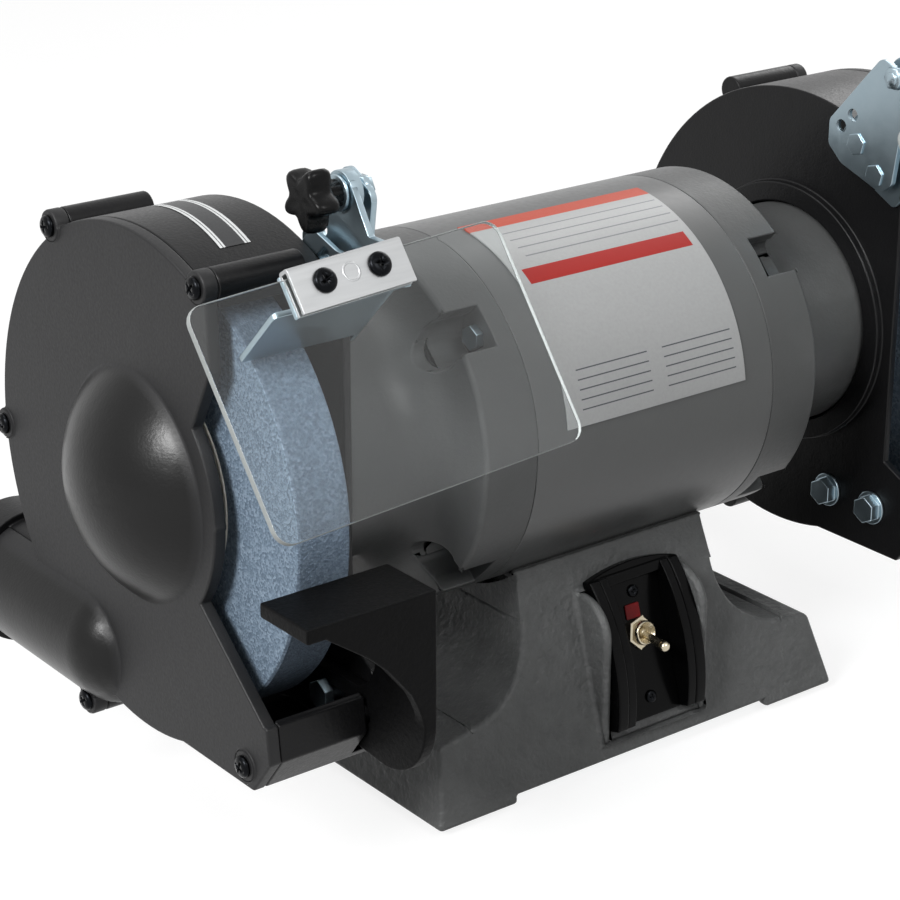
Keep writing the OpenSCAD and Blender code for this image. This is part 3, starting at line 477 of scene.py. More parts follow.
metals = {
    "zinc": {
        "name": "zinc_plated_stamped_steel",  # a cool soft shine with a faint cloudy bloom
        "colour": "#a6b6be", "shade": "#94a5ae", "roughness": 0.32, "spread": 0.06, "cloudMm": 9,
        "stretch": (1, 1, 1), "depthMm": 0.0,
    },
    "aluminium": {
        "name": "rolled_bright_aluminium",  # nearly white, with a fine straight rolling grain
        "colour": "#b9babb", "shade": "#abadae", "roughness": 0.38, "spread": 0.1, "cloudMm": 1.2,
        "stretch": (0.05, 1, 1), "depthMm": 0.008,
    },
    "turned": {
        "name": "turned_mild_steel",  # a grey shine with tool rings round the shaft
        "colour": "#b9bbbe", "shade": "#a2a5a9", "roughness": 0.28, "spread": 0.12, "cloudMm": 0.9,
        "stretch": (1, 0.08, 0.08), "depthMm": 0.01,
    },
    "nickel": {
        "name": "nickel_plated_brass",  # a warm bright shine
        "colour": "#cfc8b6", "shade": "#b3a68c", "roughness": 0.24, "spread": 0.1, "cloudMm": 2,
        "stretch": (1, 1, 1), "depthMm": 0.004,
    },
    "blackOxide": {
        "name": "black_oxide_cold_headed_steel",  # a dark oily black from the bluing bath
        "colour": "#1b1c1e", "shade": "#121315", "roughness": 0.3, "spread": 0.12, "cloudMm": 3,
        "stretch": (1, 1, 1), "depthMm": 0.01,
    },
    "lamination": {
        "name": "stacked_lamination_steel",  # fine edges of sheet, 0.5 mm apart in the real stack
        "colour": "#7f8388", "shade": "#63676c", "roughness": 0.45, "spread": 0.1, "cloudMm": 0.8,
        "stretch": (1, 0.05, 0.05), "depthMm": 0.02,
    },
    "copper": {
        "name": "enamelled_copper_winding",  # amber varnish over drawn wire, about 0.7 mm thick
        "colour": "#b0622f", "shade": "#7d3f1c", "roughness": 0.35, "spread": 0.1, "cloudMm": 0.9,
        "stretch": (1, 0.1, 0.1), "depthMm": 0.05,
    },
    "brass": {
        "name": "stamped_yellow_brass",  # a soft yellow shine with draw marks along the blade
        "colour": "#d9b56a", "shade": "#c09a52", "roughness": 0.26, "spread": 0.1, "cloudMm": 1.5,
        "stretch": (1, 0.1, 1), "depthMm": 0.006,
    },
}


def bareMetal(look):
    material, tree, shader, place = startMaterial(look["name"], {"Metallic": 1.0})
    drawn = addNode(tree, "VectorMath", {"operation": "MULTIPLY", 1: look["stretch"]}, {0: place})
    cloud = addNode(tree, "TexNoise", {"Scale": 1 / mm(look["cloudMm"]), "Detail": 4.0, "Roughness": 0.6},
                    {"Vector": drawn})
    plainFinish(tree, shader, look, cloud)
    return material


metal = {key: bareMetal(look) for key, look in metals.items()}


# Moulded and pressed plastics, rubber, board and paper

moulded = {
    "blackPlastic": {
        "name": "moulded_black_nylon",  # a near black with a soft sheen from a fine spark-eroded mould
        "colour": "#060606", "shade": "#0a0a0b", "roughness": 0.3, "spread": 0.1,
        "grainMm": 0.9, "depthMm": 0.02, "ior": 1.53, "shine": 0.12,
    },
    "rubber": {
        "name": "moulded_black_rubber",  # dull, slightly bloomed black
        "colour": "#1b1b1c", "shade": "#262627", "roughness": 0.68, "spread": 0.12,
        "grainMm": 1.2, "depthMm": 0.03, "ior": 1.52,
    },
    "glossPlastic": {
        "name": "moulded_black_abs",  # a deep piano black from a polished mould
        "colour": "#040404", "shade": "#060607", "roughness": 0.2, "spread": 0.06,
        "grainMm": 2.5, "depthMm": 0.01, "ior": 1.53, "shine": 0.07,
    },
    "redPlasticPaintedShade": {
        "name": "moulded_red_abs",  # a glossy red, darkened with painted shade
        "colour": "#6e070a", "shade": "#5a0508", "roughness": 0.3, "spread": 0.08,
        "grainMm": 1.5, "depthMm": 0.01, "ior": 1.53, "shine": 0.15,
    },
    "board": {
        "name": "pressed_phenolic_board",  # a brown fibrous sheet
        "colour": "#6b4a2a", "shade": "#553a20", "roughness": 0.55, "spread": 0.15,
        "grainMm": 1.5, "depthMm": 0.04, "ior": 1.5,
    },
    "paper": {
        "name": "pulp_blotter_paper",  # matt off-white card with soft fibres
        "colour": "#dedad0", "shade": "#cfcabd", "roughness": 0.85, "spread": 0.1,
        "grainMm": 2.0, "depthMm": 0.05, "ior": 1.45,
    },
}


def mouldedStuff(look):
    material, tree, shader, place = startMaterial(
        look["name"], {"IOR": look["ior"], "Specular IOR Level": look.get("shine", 0.5)})
    grain = addNode(tree, "TexNoise", {"Scale": 1 / mm(look["grainMm"]), "Detail": 3.0, "Roughness": 0.55},
                    {"Vector": place})
    plainFinish(tree, shader, look, grain)
    return material


stuff = {key: mouldedStuff(look) for key, look in moulded.items()}


# Vitrified aluminium oxide: fused grit in a glassy bond, dull and sparkly, with painted shade darkening the
# rim

abrasiveLook = {
    "name": "vitrified_aluminium_oxide", "roughness": 0.82, "ior": 1.6,
    # the rim colour is painted shade for the wheel's rim face
    "grit": "#667889", "pale": "#8b9cad", "dark": "#435263", "rim": "#303c4b",
    "gritMm": 1.1,  # 46 grit is about 0.35 mm across, drawn coarser so that it shows
    "blotchMm": 9, "evenness": (0.15, 0.6), "rimRadius": 100.8, "rimShadeShare": 0.55, "pitMm": 0.35,
}


def vitrifiedAbrasive(look):
    material, tree, shader, place = startMaterial(
        look["name"], {"Roughness": look["roughness"], "IOR": look["ior"]})
    grit = addNode(tree, "TexVoronoi", {"Scale": 1 / mm(look["gritMm"])}, {"Vector": place})
    tone = addNode(tree, "SeparateColor", None, {"Color": grit.outputs["Color"]})
    speckle = addNode(tree, "ValToRGB", None, {"Fac": tone})
    ramp = speckle.color_ramp.elements
    ramp[0].color, ramp[1].color = linearColour(look["dark"]), linearColour(look["pale"])
    ramp.new(0.5).color = linearColour(look["grit"])
    blotch = addNode(tree, "TexNoise", {"Scale": 1 / mm(look["blotchMm"]), "Detail": 4.0}, {"Vector": place})
    low, high = look["evenness"]
    fade = addNode(tree, "MapRange", {"From Min": 0.35, "From Max": 0.75, "To Min": low, "To Max": high},
                   {"Value": blotch})
    body = addNode(tree, "Mix", {"data_type": "RGBA", 7: linearColour(look["grit"])}, {0: fade, 6: speckle})
    across = addNode(tree, "VectorMath", {"operation": "SUBTRACT", 1: (0, 0, mm(shaftHeight))}, {0: place})
    flat = addNode(tree, "VectorMath", {"operation": "MULTIPLY", 1: (0, 1, 1)}, {0: across})
    radius = addNode(tree, "VectorMath", {"operation": "LENGTH"}, {0: flat})
    # painted shade: beyond the rim radius the colour is mixed towards the darker rim colour
    atRim = addNode(tree, "Math", {"operation": "GREATER_THAN", 1: mm(look["rimRadius"])},
                    {0: radius.outputs["Value"]})
    rimShadeShare = addNode(tree, "Math", {"operation": "MULTIPLY", 1: look["rimShadeShare"]}, {0: atRim})
    colour = addNode(tree, "Mix", {"data_type": "RGBA", 7: linearColour(look["rim"])},
                     {0: rimShadeShare, 6: body.outputs[2]})
    pits = addNode(tree, "Bump", {"Distance": mm(look["pitMm"]), "Strength": 1.0},
                   {"Height": grit.outputs["Distance"]})
    feed(tree, shader, {"Base Color": colour.outputs[2], "Normal": pits})
    return material


abrasive = vitrifiedAbrasive(abrasiveLook)


# Clear polycarbonate sheet, polished, with a very slight cool tint

clearLook = {
    "name": "polished_clear_polycarbonate", "colour": "#fbfdfd", "shade": "#f1f5f5", "hazeMm": 25,
    "ior": 1.38,  # the real sheet's 1.58 mirrors more of a white studio than it does of a room
    "lampsPass": "#f7f7f7",  # a thin sheet hardly shades what is behind it, so lamps shine straight through
}


def clearSheet(look):
    material, tree, shader, place = startMaterial(
        look["name"], {"IOR": look["ior"], "Roughness": 0.0, "Transmission Weight": 1.0})
    haze = addNode(tree, "TexNoise", {"Scale": 1 / mm(look["hazeMm"]), "Detail": 4.0}, {"Vector": place})
    feed(tree, shader, {"Base Color": mottled(tree, look, haze)})
    rays = addNode(tree, "LightPath")
    lampsPass = addNode(tree, "BsdfTransparent", {"Color": linearColour(look["lampsPass"])})
    either = addNode(tree, "MixShader", None, {0: rays.outputs["Is Shadow Ray"], 1: shader, 2: lampsPass})
    feed(tree, tree.nodes["Material Output"], {"Surface": either})
    return material


# Where the sheet was sawn and lightly sanded it turns pale, and a faint emission paints a glow on it for the
# light piped through the sheet

edgeLook = {
    "name": "sawn_polycarbonate_edge_painted_glow", "colour": "#a2a6a5", "shade": "#888c8b", "sawMm": 1.5,
    "roughness": 0.55, "glow": 0.05,
}


def sawnEdge(look):
    # painted light: the edge emits a faint glow in its own pale colour
    material, tree, shader, place = startMaterial(
        look["name"], {"Roughness": look["roughness"], "Emission Color": linearColour(look["colour"]),
                       "Emission Strength": look["glow"]})
    marks = addNode(tree, "TexNoise", {"Scale": 1 / mm(look["sawMm"]), "Detail": 2.0}, {"Vector": place})
    feed(tree, shader, {"Base Color": mottled(tree, look, marks)})
    return material


clear, clearEdge = clearSheet(clearLook), sawnEdge(edgeLook)
print("materials made")


# Printed aluminium plate: satin white ground, colour bands and plain ruled lines, left without wording

plateLook = {
    "name": "screen_printed_satin_aluminium", "colour": "#a6a7a7", "shade": "#9b9c9c",
    "roughness": (0.31, 0.43), "metallic": 0.1, "shine": 0.25, "brushMm": 1.5,
    "zones": [  # x along the shaft, and the angle up from the front round it
        {"x": (-54, 52), "angle": (80.3, 86), "colour": "#ae3f27"},
        {"x": (-40, 50), "angle": (61.5, 77.5), "colour": "#77797c", "pitch": 4.0, "line": 0.5},
        {"x": (-47.5, 47.5), "angle": (53.3, 59.2), "colour": "#971c16"},
        {"x": (-44, -3), "angle": (10.5, 25.0), "colour": "#505357", "pitch": 3.0, "line": 0.4},
        {"x": (6, 47), "angle": (10.5, 25.0), "colour": "#505357", "pitch": 3.0, "line": 0.4},
    ],
}


def printedPlate(look):
    material, tree, shader, place = startMaterial(
        look["name"], {"Metallic": look["metallic"], "Specular IOR Level": look["shine"]})
    brush = addNode(tree, "TexNoise", {"Scale": 1 / mm(look["brushMm"]), "Detail": 2.0}, {"Vector": place})
    tone = mottled(tree, look, brush)
    axes = addNode(tree, "SeparateXYZ", None, {0: place})
    across = addNode(tree, "Math", {"operation": "DIVIDE", 1: mm(1)}, {0: axes})
    up = addNode(tree, "Math", {"operation": "SUBTRACT", 1: mm(shaftHeight)}, {0: axes.outputs[2]})
    forward = addNode(tree, "Math", {"operation": "MULTIPLY", 1: -1.0}, {0: axes.outputs[1]})
    turn = addNode(tree, "Math", {"operation": "ARCTAN2"}, {0: up, 1: forward})
    angle = addNode(tree, "Math", {"operation": "DEGREES"}, {0: turn})
    for zone in look["zones"]:
        mask = None
        for key, reading in (("x", across), ("angle", angle)):
            low, high = zone[key]
            inside = addNode(tree, "Math", {"operation": "COMPARE", 1: (low + high) / 2, 2: (high - low) / 2},
                             {0: reading})
            mask = addNode(tree, "Math", {"operation": "MULTIPLY"}, {0: mask, 1: inside}) if mask else inside
        if "pitch" in zone:  # ruled lines
            wrapped = addNode(tree, "Math", {"operation": "PINGPONG", 1: zone["pitch"] / 2}, {0: angle})
            onLine = addNode(tree, "Math", {"operation": "LESS_THAN", 1: zone["line"] / 2}, {0: wrapped})
            mask = addNode(tree, "Math", {"operation": "MULTIPLY"}, {0: mask, 1: onLine})
        tone = addNode(tree, "Mix", {"data_type": "RGBA", 7: linearColour(zone["colour"])},
                       {0: mask, 6: tone}).outputs[2]
    low, high = look["roughness"]
    gloss = addNode(tree, "MapRange", {"To Min": low, "To Max": high}, {"Value": brush})
    feed(tree, shader, {"Base Color": tone, "Roughness": gloss})
    return material


plate = printedPlate(plateLook)


# Finishes for the nodes whose own shape is kept

keptNodes = {
    "bottom_plate": metal["zinc"], "saddle_bolts": metal["zinc"], "nameplate": plate,
    "shaft": metal["turned"], "bearing_outer_races": metal["turned"], "bearing_inner_races": metal["turned"],
    "stator_core": metal["lamination"], "rotor_core": metal["lamination"], "stator_windings": metal["copper"],
    "start_governor": stuff["board"], "start_contacts": stuff["board"], "capacitor": stuff["blackPlastic"],
    "blotters": stuff["paper"], "plug_blades": metal["brass"], "toggle_lever": metal["nickel"],
}
for s in sides:
    keptNodes["wheel_" + s] = abrasive
    keptNodes.update({part + s: metal["turned"] for part in ("inner_flange_", "outer_flange_", "arbor_nut_")})
for node, material in keptNodes.items():
    mesh = frame["nodes"][node].data
    mesh.materials.clear()
    mesh.materials.append(material)


# Castings, stampings and turned bolts with their edges rounded over: the rounding's width and its steps

easedNodes = {
    "base_casting": (enamel["greyCasting"], "cast_paint", 2.2, 3),
    "motor_shell": (enamel["greySheet"], "shell_paint", 0.5, 2),
    "end_bell_left": (enamel["greyBell"], "cast_paint", 0.8, 2),
    "end_bell_right": (enamel["greyBell"], "cast_paint", 0.8, 2),
    "through_bolts": (metal["zinc"], "zinc_plate", 0.4, 2),
    "rubber_feet": (stuff["rubber"], "rubber", 0.6, 2),
    "switch_shroud": (stuff["glossPlastic"], "black_plastic", 0.8, 3),
}
for s in sides:
    easedNodes.update({
        "guard_body_" + s: (enamel["blackGuard"], "guard_paint", 0.9, 2),
        "guard_cover_" + s: (enamel["blackCover"], "guard_paint", 1.0, 2),
        "bracket_bolts_" + s: (metal["zinc"], "zinc_plate", 0.4, 2),
        "rest_bolts_" + s: (metal["zinc"], "zinc_plate", 0.5, 2),
        "tool_rest_" + s: (enamel["blackRest"], "rest_paint", 0.9, 2),
    })
easing = {"weld": 0.004, "flatDegrees": 0.6, "sharpDegrees": 30, "shortest": 0.3}  # a share of the width


# The node's own shape with its flat facets merged and its sharp edges rounded
def easedCopy(node, material, slotName, width, steps):
    bm = bmesh.new()
    bm.from_mesh(frame["nodes"][node].data)
    bmesh.ops.remove_doubles(bm, verts=bm.verts, dist=mm(easing["weld"]))
    bmesh.ops.dissolve_limit(bm, angle_limit=math.radians(easing["flatDegrees"]),
                             verts=bm.verts, edges=bm.edges, use_dissolve_boundaries=False)
    sharp = math.radians(easing["sharpDegrees"])
    edges = [e for e in bm.edges if len(e.link_faces) == 2 and e.calc_face_angle() > sharp
             and e.calc_length() > mm(width) * easing["shortest"]]
    bmesh.ops.bevel(bm, geom=edges, offset=mm(width), segments=steps, profile=0.5,
                    affect="EDGES", clamp_overlap=False)
    body = next(b for b, nodes in frame["record"]["behaviour"]["bodies"].items() if node in nodes)
    newPiece(node + "_eased", intoMesh(bm, node + "_eased"), material, body, (node,))


for node, how in easedNodes.items():
    easedCopy(node, *how)
print("edges rounded on", len(easedNodes), "nodes")


# Cross recess screws: pan heads, with the recess really cut, in shares of the head's radius and height

screwShape = {
    "head": [(0, 0), (0.98, 0), (1, 0.12), (1, 0.35), (0.94, 0.62), (0.78, 0.84), (0.5, 0.97), (0, 1)],
    "arm": 0.62, "armHalfWidth": 0.13, "recess": [(0.45, 0.25), (1.0, 0.95), (1.05, 1.3)],
}


def crossScrew(radius, height, shape=screwShape):
    head = turnedShape([(radius * wide, height * up) for wide, up in shape["head"]], 40)
    arm, half = radius * shape["arm"], radius * shape["armHalfWidth"]
    plus = [(half, arm), (half, half), (arm, half)]
    for k in range(9):
        x, y = plus[k]
        plus.append((y, -x))
    rings = [[(mm(x * wide), mm(y * wide), mm(height * up)) for x, y in plus] for wide, up in shape["recess"]]
    return cutAway(head, ringShell(rings, capped=True))


guardScrewLook = {
    "coverX": 221.6, "radius": 4.8, "height": 2.6, "firstTurn": 11, "nextTurn": 37,
    "lugs": [(60, 99), (-55, 101), (112, -6), (50, -120.5), (-79, -99)],
    "flangeX": 164.0, "flangeRing": 48.5, "flangeDegrees": (90, 210, 330), "flangeRadius": 5.0,
    "flangeHeight": 3.4,
}


def makeGuardScrews(look, s):
    lugScrew = crossScrew(look["radius"], look["height"])
    flangeScrew = crossScrew(look["flangeRadius"], look["flangeHeight"])
    heads, out, ring = [], sides[s], look["flangeRing"]
    for i, (y, z) in enumerate(look["lugs"]):
        spot = placed((out * look["coverX"], y, shaftHeight + z), (out, 0, 0))
        heads.append((lugScrew, spot @ rotated(look["firstTurn"] + look["nextTurn"] * i, "Z")))
    for degrees in look["flangeDegrees"]:
        y, z = -ring * math.cos(math.radians(degrees)), ring * math.sin(math.radians(degrees))
        heads.append((flangeScrew, placed((out * look["flangeX"], y, shaftHeight + z), (out, 0, 0))))
    newPiece("guard_screw_heads_" + s, heads, metal["blackOxide"], "housing",
             ("guard_screws_" + s,))


# Knob: five lobes moulded on a ribbed hub, over the pivot's bolt, washer and nut

pivot = (-71, 133)  # y and z of the eye shield's hinge line, from the shaft's axis
knobLook = {
    "hubX": 165.0, "headX": 171.5, "lobeReach": 13.8, "valleyReach": 8.8, "hubRadius": 6.0, "ribDepth": 0.45,
    "crown": [(0.66, 0.3), (0.82, 0), (0.92, 0.5), (0.985, 2.0), (1.0, 4.0), (0.995, 7.2), (0.96, 9.2),
              (0.89, 10.4), (0.8, 10.85), (0.66, 11.0), (0.4, 10.8)],  # share of the lobes, out from headX
    "middle": 10.7, "nutX": 149.3, "washerX": 163.5, "boltRadius": 3.15, "washerRadius": 7.5,
    "nutProfile": [(0, 0), (4.9, 0), (5.7, 0.7), (5.7, 4.3), (5.2, 4.8), (0, 4.8)],
}


def makeKnob(look, s):
    turnTo = placed((0, pivot[0], shaftHeight + pivot[1]), (sides[s], 0, 0))
    valley, swing = look["valleyReach"], look["lobeReach"] - look["valleyReach"]

    def lobes(share):
        return lambda turn: share * (valley + swing * (0.5 + 0.5 * math.cos(5 * turn + 0.6)) ** 1.25)

    def ribs(turn):
        return look["hubRadius"] - look["ribDepth"] * (0.5 + 0.5 * math.cos(14 * turn)) ** 2

    hub, head, nut, washerX = look["hubX"], look["headX"], look["nutX"], look["washerX"]
    profile = [(0, hub), (5.2, hub), (ribs, hub + 0.5), (ribs, head - 0.4)]
    profile += [(lobes(share), head + out) for share, out in look["crown"]] + [(0, head + look["middle"])]
    newPiece("lobed_knob_" + s, [(turnedShape(profile, 140), turnTo)], stuff["blackPlastic"], "knob_" + s,
             ("shield_knob_" + s,))
    pin, washer = look["boltRadius"], look["washerRadius"]
    bolt = turnedShape([(0, nut - 0.9), (pin - 0.5, nut - 0.9), (pin, nut - 0.4), (pin, washerX),
                        (washer - 0.4, washerX), (washer, washerX + 0.3), (washer, hub - 0.3),
                        (washer - 0.4, hub), (0, hub)], 48)
    hexNut = turnedShape([(radius, nut + out) for radius, out in look["nutProfile"]], 6)
    newPiece("knob_bolt_" + s, [(bolt, turnTo), (hexNut, turnTo)], metal["zinc"], "knob_" + s,
             shading="smooth")


# Eye shield: a clear sheet held in a folded channel, on a stamped hinge with a back plate

shieldLook = {
    "mid": 188.0, "y": -109.2, "z": 286.5, "leanDegrees": 33.6, "rollDegrees": 3.2,
    "from": 114.4, "width": 148, "length": 94, "thickness": 3.0, "corner": 7.0, "ease": 0.45,
    "clampFrom": 162.2, "clampTo": 216.0, "clampUp": 3.6, "clampDown": 15.1, "clampSheet": 1.6,
    "clampGap": 0.1,
    "screws": (176.0, 202.0), "screwZ": -5.0, "screwHole": 2.1, "drill": (-20, 20),
    "screwHead": (5.0, 2.6), "screwTurns": (0.3, 1.2),
    "nutProfile": [(0, 0), (4.6, 0), (4.6, 2.5), (4.0, 3.0), (0, 3.0)], "nutOut": 2.6,
    "ring": (189.0, -4.6), "ringProfile": [(3.1, -0.1), (3.25, 0.16), (3.95, 0.16), (4.1, -0.1)],
    "ear": [(-77.6, 139.2, 0), (-90.2, 119.4, 2), (-103.3, 119.2, 1), (-114.5, 103.5, 1), (-98.2, 106.4, 5),
            (-64, 127.3, 0)],
    "earX": (160.3, 163.3),
    "disc": [(0, 157.5), (8.6, 157.5), (9, 157.9), (9, 162.95), (8.65, 163.3), (0, 163.3)],
    "backFrom": 161.3, "backTop": 2.5, "backThickness": 2.4,
}


# Local X along the sheet, local Y through it and local Z up its slope, on the side s
def shieldFrame(look, s):
    lean = rotated(-look["leanDegrees"], "X") @ rotated(look["rollDegrees"], "Y")
    rightSide = shifted(look["mid"], look["y"], look["z"]) @ lean @ shifted(-look["mid"])
    return Matrix.Diagonal((sides[s], 1, 1, 1)) @ rightSide


def makeShield(look, s):
    at, body, half = shieldFrame(look, s), "shield_" + s, look["thickness"] / 2
    x0, x1 = look["from"], look["from"] + look["width"]
    drill = drillPins([(x, look["screwZ"], look["screwHole"]) for x in look["screws"]], *look["drill"])
    sheet = pressedPlate(roundedBox(x0, x1, -look["length"], 0, look["corner"]), -half, half, look["ease"], 3)
    piece = newPiece("clear_sheet_" + s, [(cutAway(sheet, drill), at @ standUp)], clear, body,
                     ("shield_lens_" + s,))
    piece.data.materials.append(clearEdge)  # for the faces that don't lie in the sheet's plane
    through = (at @ standUp).to_3x3() @ Vector((0, 0, 1))
    for face in piece.data.polygons:
        face.material_index = 0 if abs(face.normal.dot(through)) > 0.75 else 1
    # the channel is one strip folded over the sheet's top edge
    inner, outer = half + look["clampGap"], half + look["clampGap"] + look["clampSheet"]
    low, high, lip = -look["clampDown"], look["clampUp"], look["clampUp"] - look["clampSheet"]
    fold = [(-outer, low, 0.3), (-inner, low, 0.3), (-inner, lip, 0.5), (inner, lip, 0.5), (inner, low, 0.3),
            (outer, low, 0.3), (outer, high, 1.5), (-outer, high, 1.5)]
    channel = gathered([(pressedPlate(fold, look["clampFrom"], look["clampTo"], 0.25, 2), alongX)])
    channel = cutAway(channel, gathered([(drill, standUp)]))
    ringX, ringZ = look["ring"]
    ring = (turnedShape(look["ringProfile"], 48), at @ shifted(ringX, -outer, ringZ) @ standUp)
    newPiece("folded_channel_" + s, [(channel, at), ring], metal["aluminium"], body,
             ("shield_clamp_" + s,))
    head, nut, screws = crossScrew(*look["screwHead"]), turnedShape(look["nutProfile"], 6), []
    for x, turn in zip(look["screws"], look["screwTurns"]):
        spot = at @ shifted(x, -outer, look["screwZ"]) @ standUp
        screws.append((head, spot @ Matrix.Rotation(turn, 4, "Z")))
        screws.append((nut, at @ shifted(x, outer + look["nutOut"], look["screwZ"]) @ rotated(-90, "X")))
    newPiece("channel_screws_" + s, screws, metal["blackOxide"], body, shading="smooth")
    # the hinge's ear stands beside the guard, and its back plate is folded in behind the sheet
    ear = (pressedPlate(look["ear"], *look["earX"]), shaftFrame(s) @ alongX)
    disc = (turnedShape(look["disc"], 64), shaftFrame(s) @ shifted(0, *pivot) @ rotated(90, "Y"))
    backAt = -outer - look["clampGap"]
    back = pressedPlate(roundedBox(look["backFrom"], look["clampTo"], low, look["backTop"], 0.8),
                        backAt - look["backThickness"], backAt)
    newPiece("stamped_hinge_" + s, [ear, disc, (cutAway(back, drill), at @ standUp)], metal["zinc"], body,
             ("shield_hinge_" + s,))


# Stamped brackets: the arm that carries the pivot, and the spark guard's slotted leg with its folded tongue

mouthDegrees = 45.5  # the slope of the guard's mouth, which the bolts and the spark guard follow
armLook = {
    "x": (151.3, 154.3),
    "outline": [(-62.5, 141.5, 5), (-31, 106, 4), (-31, 94, 4), (-40, 86, 5), (-66, 77, 4), (-73, 82, 4),
                (-80.5, 133, 6)],
    "holes": [(*pivot, 3.2), (-39, 104, 3.2), (-46, 110.5, 3.2)],
    "boltOut": 104, "boltRise": (15, 33), "boltHole": 3.05,
}
sparkLook = {
    "legX": (157.5, 159.8), "plateTo": 214.0, "plateOut": 139.0, "plateIn": 104.0, "thickness": 2.5,
    "leg": [(-139, -1.25, 0), (-98, -1.25, 3), (-88, 30, 4), (-89, 42, 3), (-97, 46, 4), (-112, 46, 6),
            (-120, 30, 5), (-139, 8, 4)],
    "slots": [(-112.0, -95.5, 15, 3.3), (-112.0, -95.5, 33, 3.3)],
}
drillRoom = 5  # how far a drill stands out of each face of a bracket


def makeArm(look, s):
    (low, high), holes = look["x"], list(look["holes"])
    dip, out = math.radians(mouthDegrees), look["boltOut"]
    for rise in look["boltRise"]:
        y = rise * math.sin(dip) - out * math.cos(dip)
        holes.append((y, rise * math.cos(dip) + out * math.sin(dip), look["boltHole"]))
    drill = drillPins(holes, low - drillRoom, high + drillRoom)
    arm = cutAway(pressedPlate(look["outline"], low, high), drill)
    newPiece("stamped_arm_" + s, [(arm, shaftFrame(s) @ alongX)], metal["zinc"], "housing",
             ("shield_arm_" + s,))


def makeSparkGuard(look, s):
    (low, high), half = look["legX"], look["thickness"] / 2
    slots = []
    for y0, y1, z, radius in look["slots"]:
        outline = roundedBox(y0 - radius, y1 + radius, z - radius, z + radius, radius * 0.98)
        slots.append((pressedPlate(outline, low - drillRoom, high + drillRoom, 0.05), Matrix()))
    leg = cutAway(pressedPlate(look["leg"], low, high), gathered(slots))
    front, back, end = -look["plateOut"], -look["plateIn"], look["plateTo"]
    tongue = pressedPlate([(low, front, 0.5), (end, front, 3), (end, back, 1), (low, back, 0.5)], -half, half)
    mouth = shaftFrame(s) @ rotated(-mouthDegrees, "X")
    newPiece("stamped_spark_guard_" + s, [(leg, mouth @ alongX), (tongue, mouth)], metal["zinc"],
             "spark_guard_" + s, ("spark_guard_" + s,))


for s in sides:
    makeGuardScrews(guardScrewLook, s)
    makeKnob(knobLook, s)
    makeShield(shieldLook, s)
    makeArm(armLook, s)
    makeSparkGuard(sparkLook, s)
print("screws, knobs, shields and brackets made")


# Toggle switch: threaded bushing and nut, its insulated body behind, a red marker plate, two cover screws and
# a cheek inside each of the shroud's fins

switchLook = {
    "at": (6.5, -65.16, 58.0), "leanDegrees": 17.02, "floor": 1.6,
    "nutRadius": 8.1, "nutHeight": 2.6, "nutTurn": 0.26,
    "bushRadius": 5.85, "bushBack": -6.2, "bushOut": 6.95, "pitch": 0.75, "threadDepth": 0.3,
    "mouth": [(5.65, 6.45), (5.15, 6.95), (5.0, 6.95), (2.7, 3.55), (0, 3.55)],
    "case": (-9, 9, -14, 14, 1.5), "caseBack": -26.2,
    "marker": (-6.5, 2.0, 7.4, 14.4, 0.8), "markerRise": 0.7,
    "screws": (-31, 20), "screwHead": (3.0, 1.6),
    "cheekX": (16.2, 21.0), "cheekZ": (-40.2, 30.7), "cheekBack": -1.4, "cheekInset": 0.35, "cheekSteps": 14,
    "finRadius": 87.3, "finAt": (72.9, -7.2),
}


def makeSwitch(look):
    at = shifted(*look["at"]) @ rotated(-look["leanDegrees"], "X")
    out = at @ standUp  # local Z now points out of the face
    floor, radius, depth = look["floor"], look["bushRadius"], look["threadDepth"]
    profile, along = [(0, look["bushBack"]), (radius - depth, look["bushBack"])], look["bushBack"] + 0.2
    while along < look["bushOut"] - 0.9:
        profile += [(radius, along), (radius - depth, along + look["pitch"] / 2)]
        along += look["pitch"]
    bushing = [(turnedShape(profile + look["mouth"], 40), out)]
    newPiece("switch_bushing", bushing, metal["nickel"], "housing", ("switch_body",))
    rim, top, bore = look["nutRadius"], floor + look["nutHeight"], radius - 0.1
    nut = turnedShape([(bore, floor), (rim, floor), (rim, top - 0.6), (rim - 0.9, top), (bore, top)], 6)
    nut = [(nut, out @ Matrix.Rotation(look["nutTurn"], 4, "Z"))]
    newPiece("switch_nut", nut, metal["nickel"], "housing", shading="flat")
    case = pressedPlate(roundedBox(*look["case"]), look["caseBack"], look["bushBack"], 0.8)
    newPiece("switch_case", [(case, out)], stuff["board"], "housing")
    marker = pressedPlate(roundedBox(*look["marker"]), floor, floor + look["markerRise"], 0.25)
    newPiece("switch_marker", [(marker, out)], stuff["redPlasticPaintedShade"], "housing")
    (middle, height), (low, high), back = look["finAt"], look["cheekZ"], look["cheekBack"]
    steps, edge = look["cheekSteps"], []
    for i in range(steps + 1):
        z = low + (high - low) * i / steps
        reach = math.sqrt(look["finRadius"] ** 2 - (z - height) ** 2)
        edge.append((middle - reach + look["cheekInset"], z, 0.5 if i in (0, steps) else 0.05))
    cheek = pressedPlate(edge + [(back, high, 0.2), (back, low, 0.2)], *look["cheekX"], 0.5, 3)
    cheeks = [(cheek, at @ Matrix.Diagonal((way, 1, 1, 1)) @ alongX) for way in (1, -1)]
    newPiece("shroud_cheeks", cheeks, stuff["glossPlastic"], "housing")
    head = crossScrew(*look["screwHead"])
    heads = [(head, out @ shifted(0, z, floor)) for z in look["screws"]]
    newPiece("switch_screws", heads, metal["blackOxide"], "housing", shading="smooth")


makeSwitch(switchLook)


# Foil strip on the left guard's rim: two bright double lines along a dark blank middle

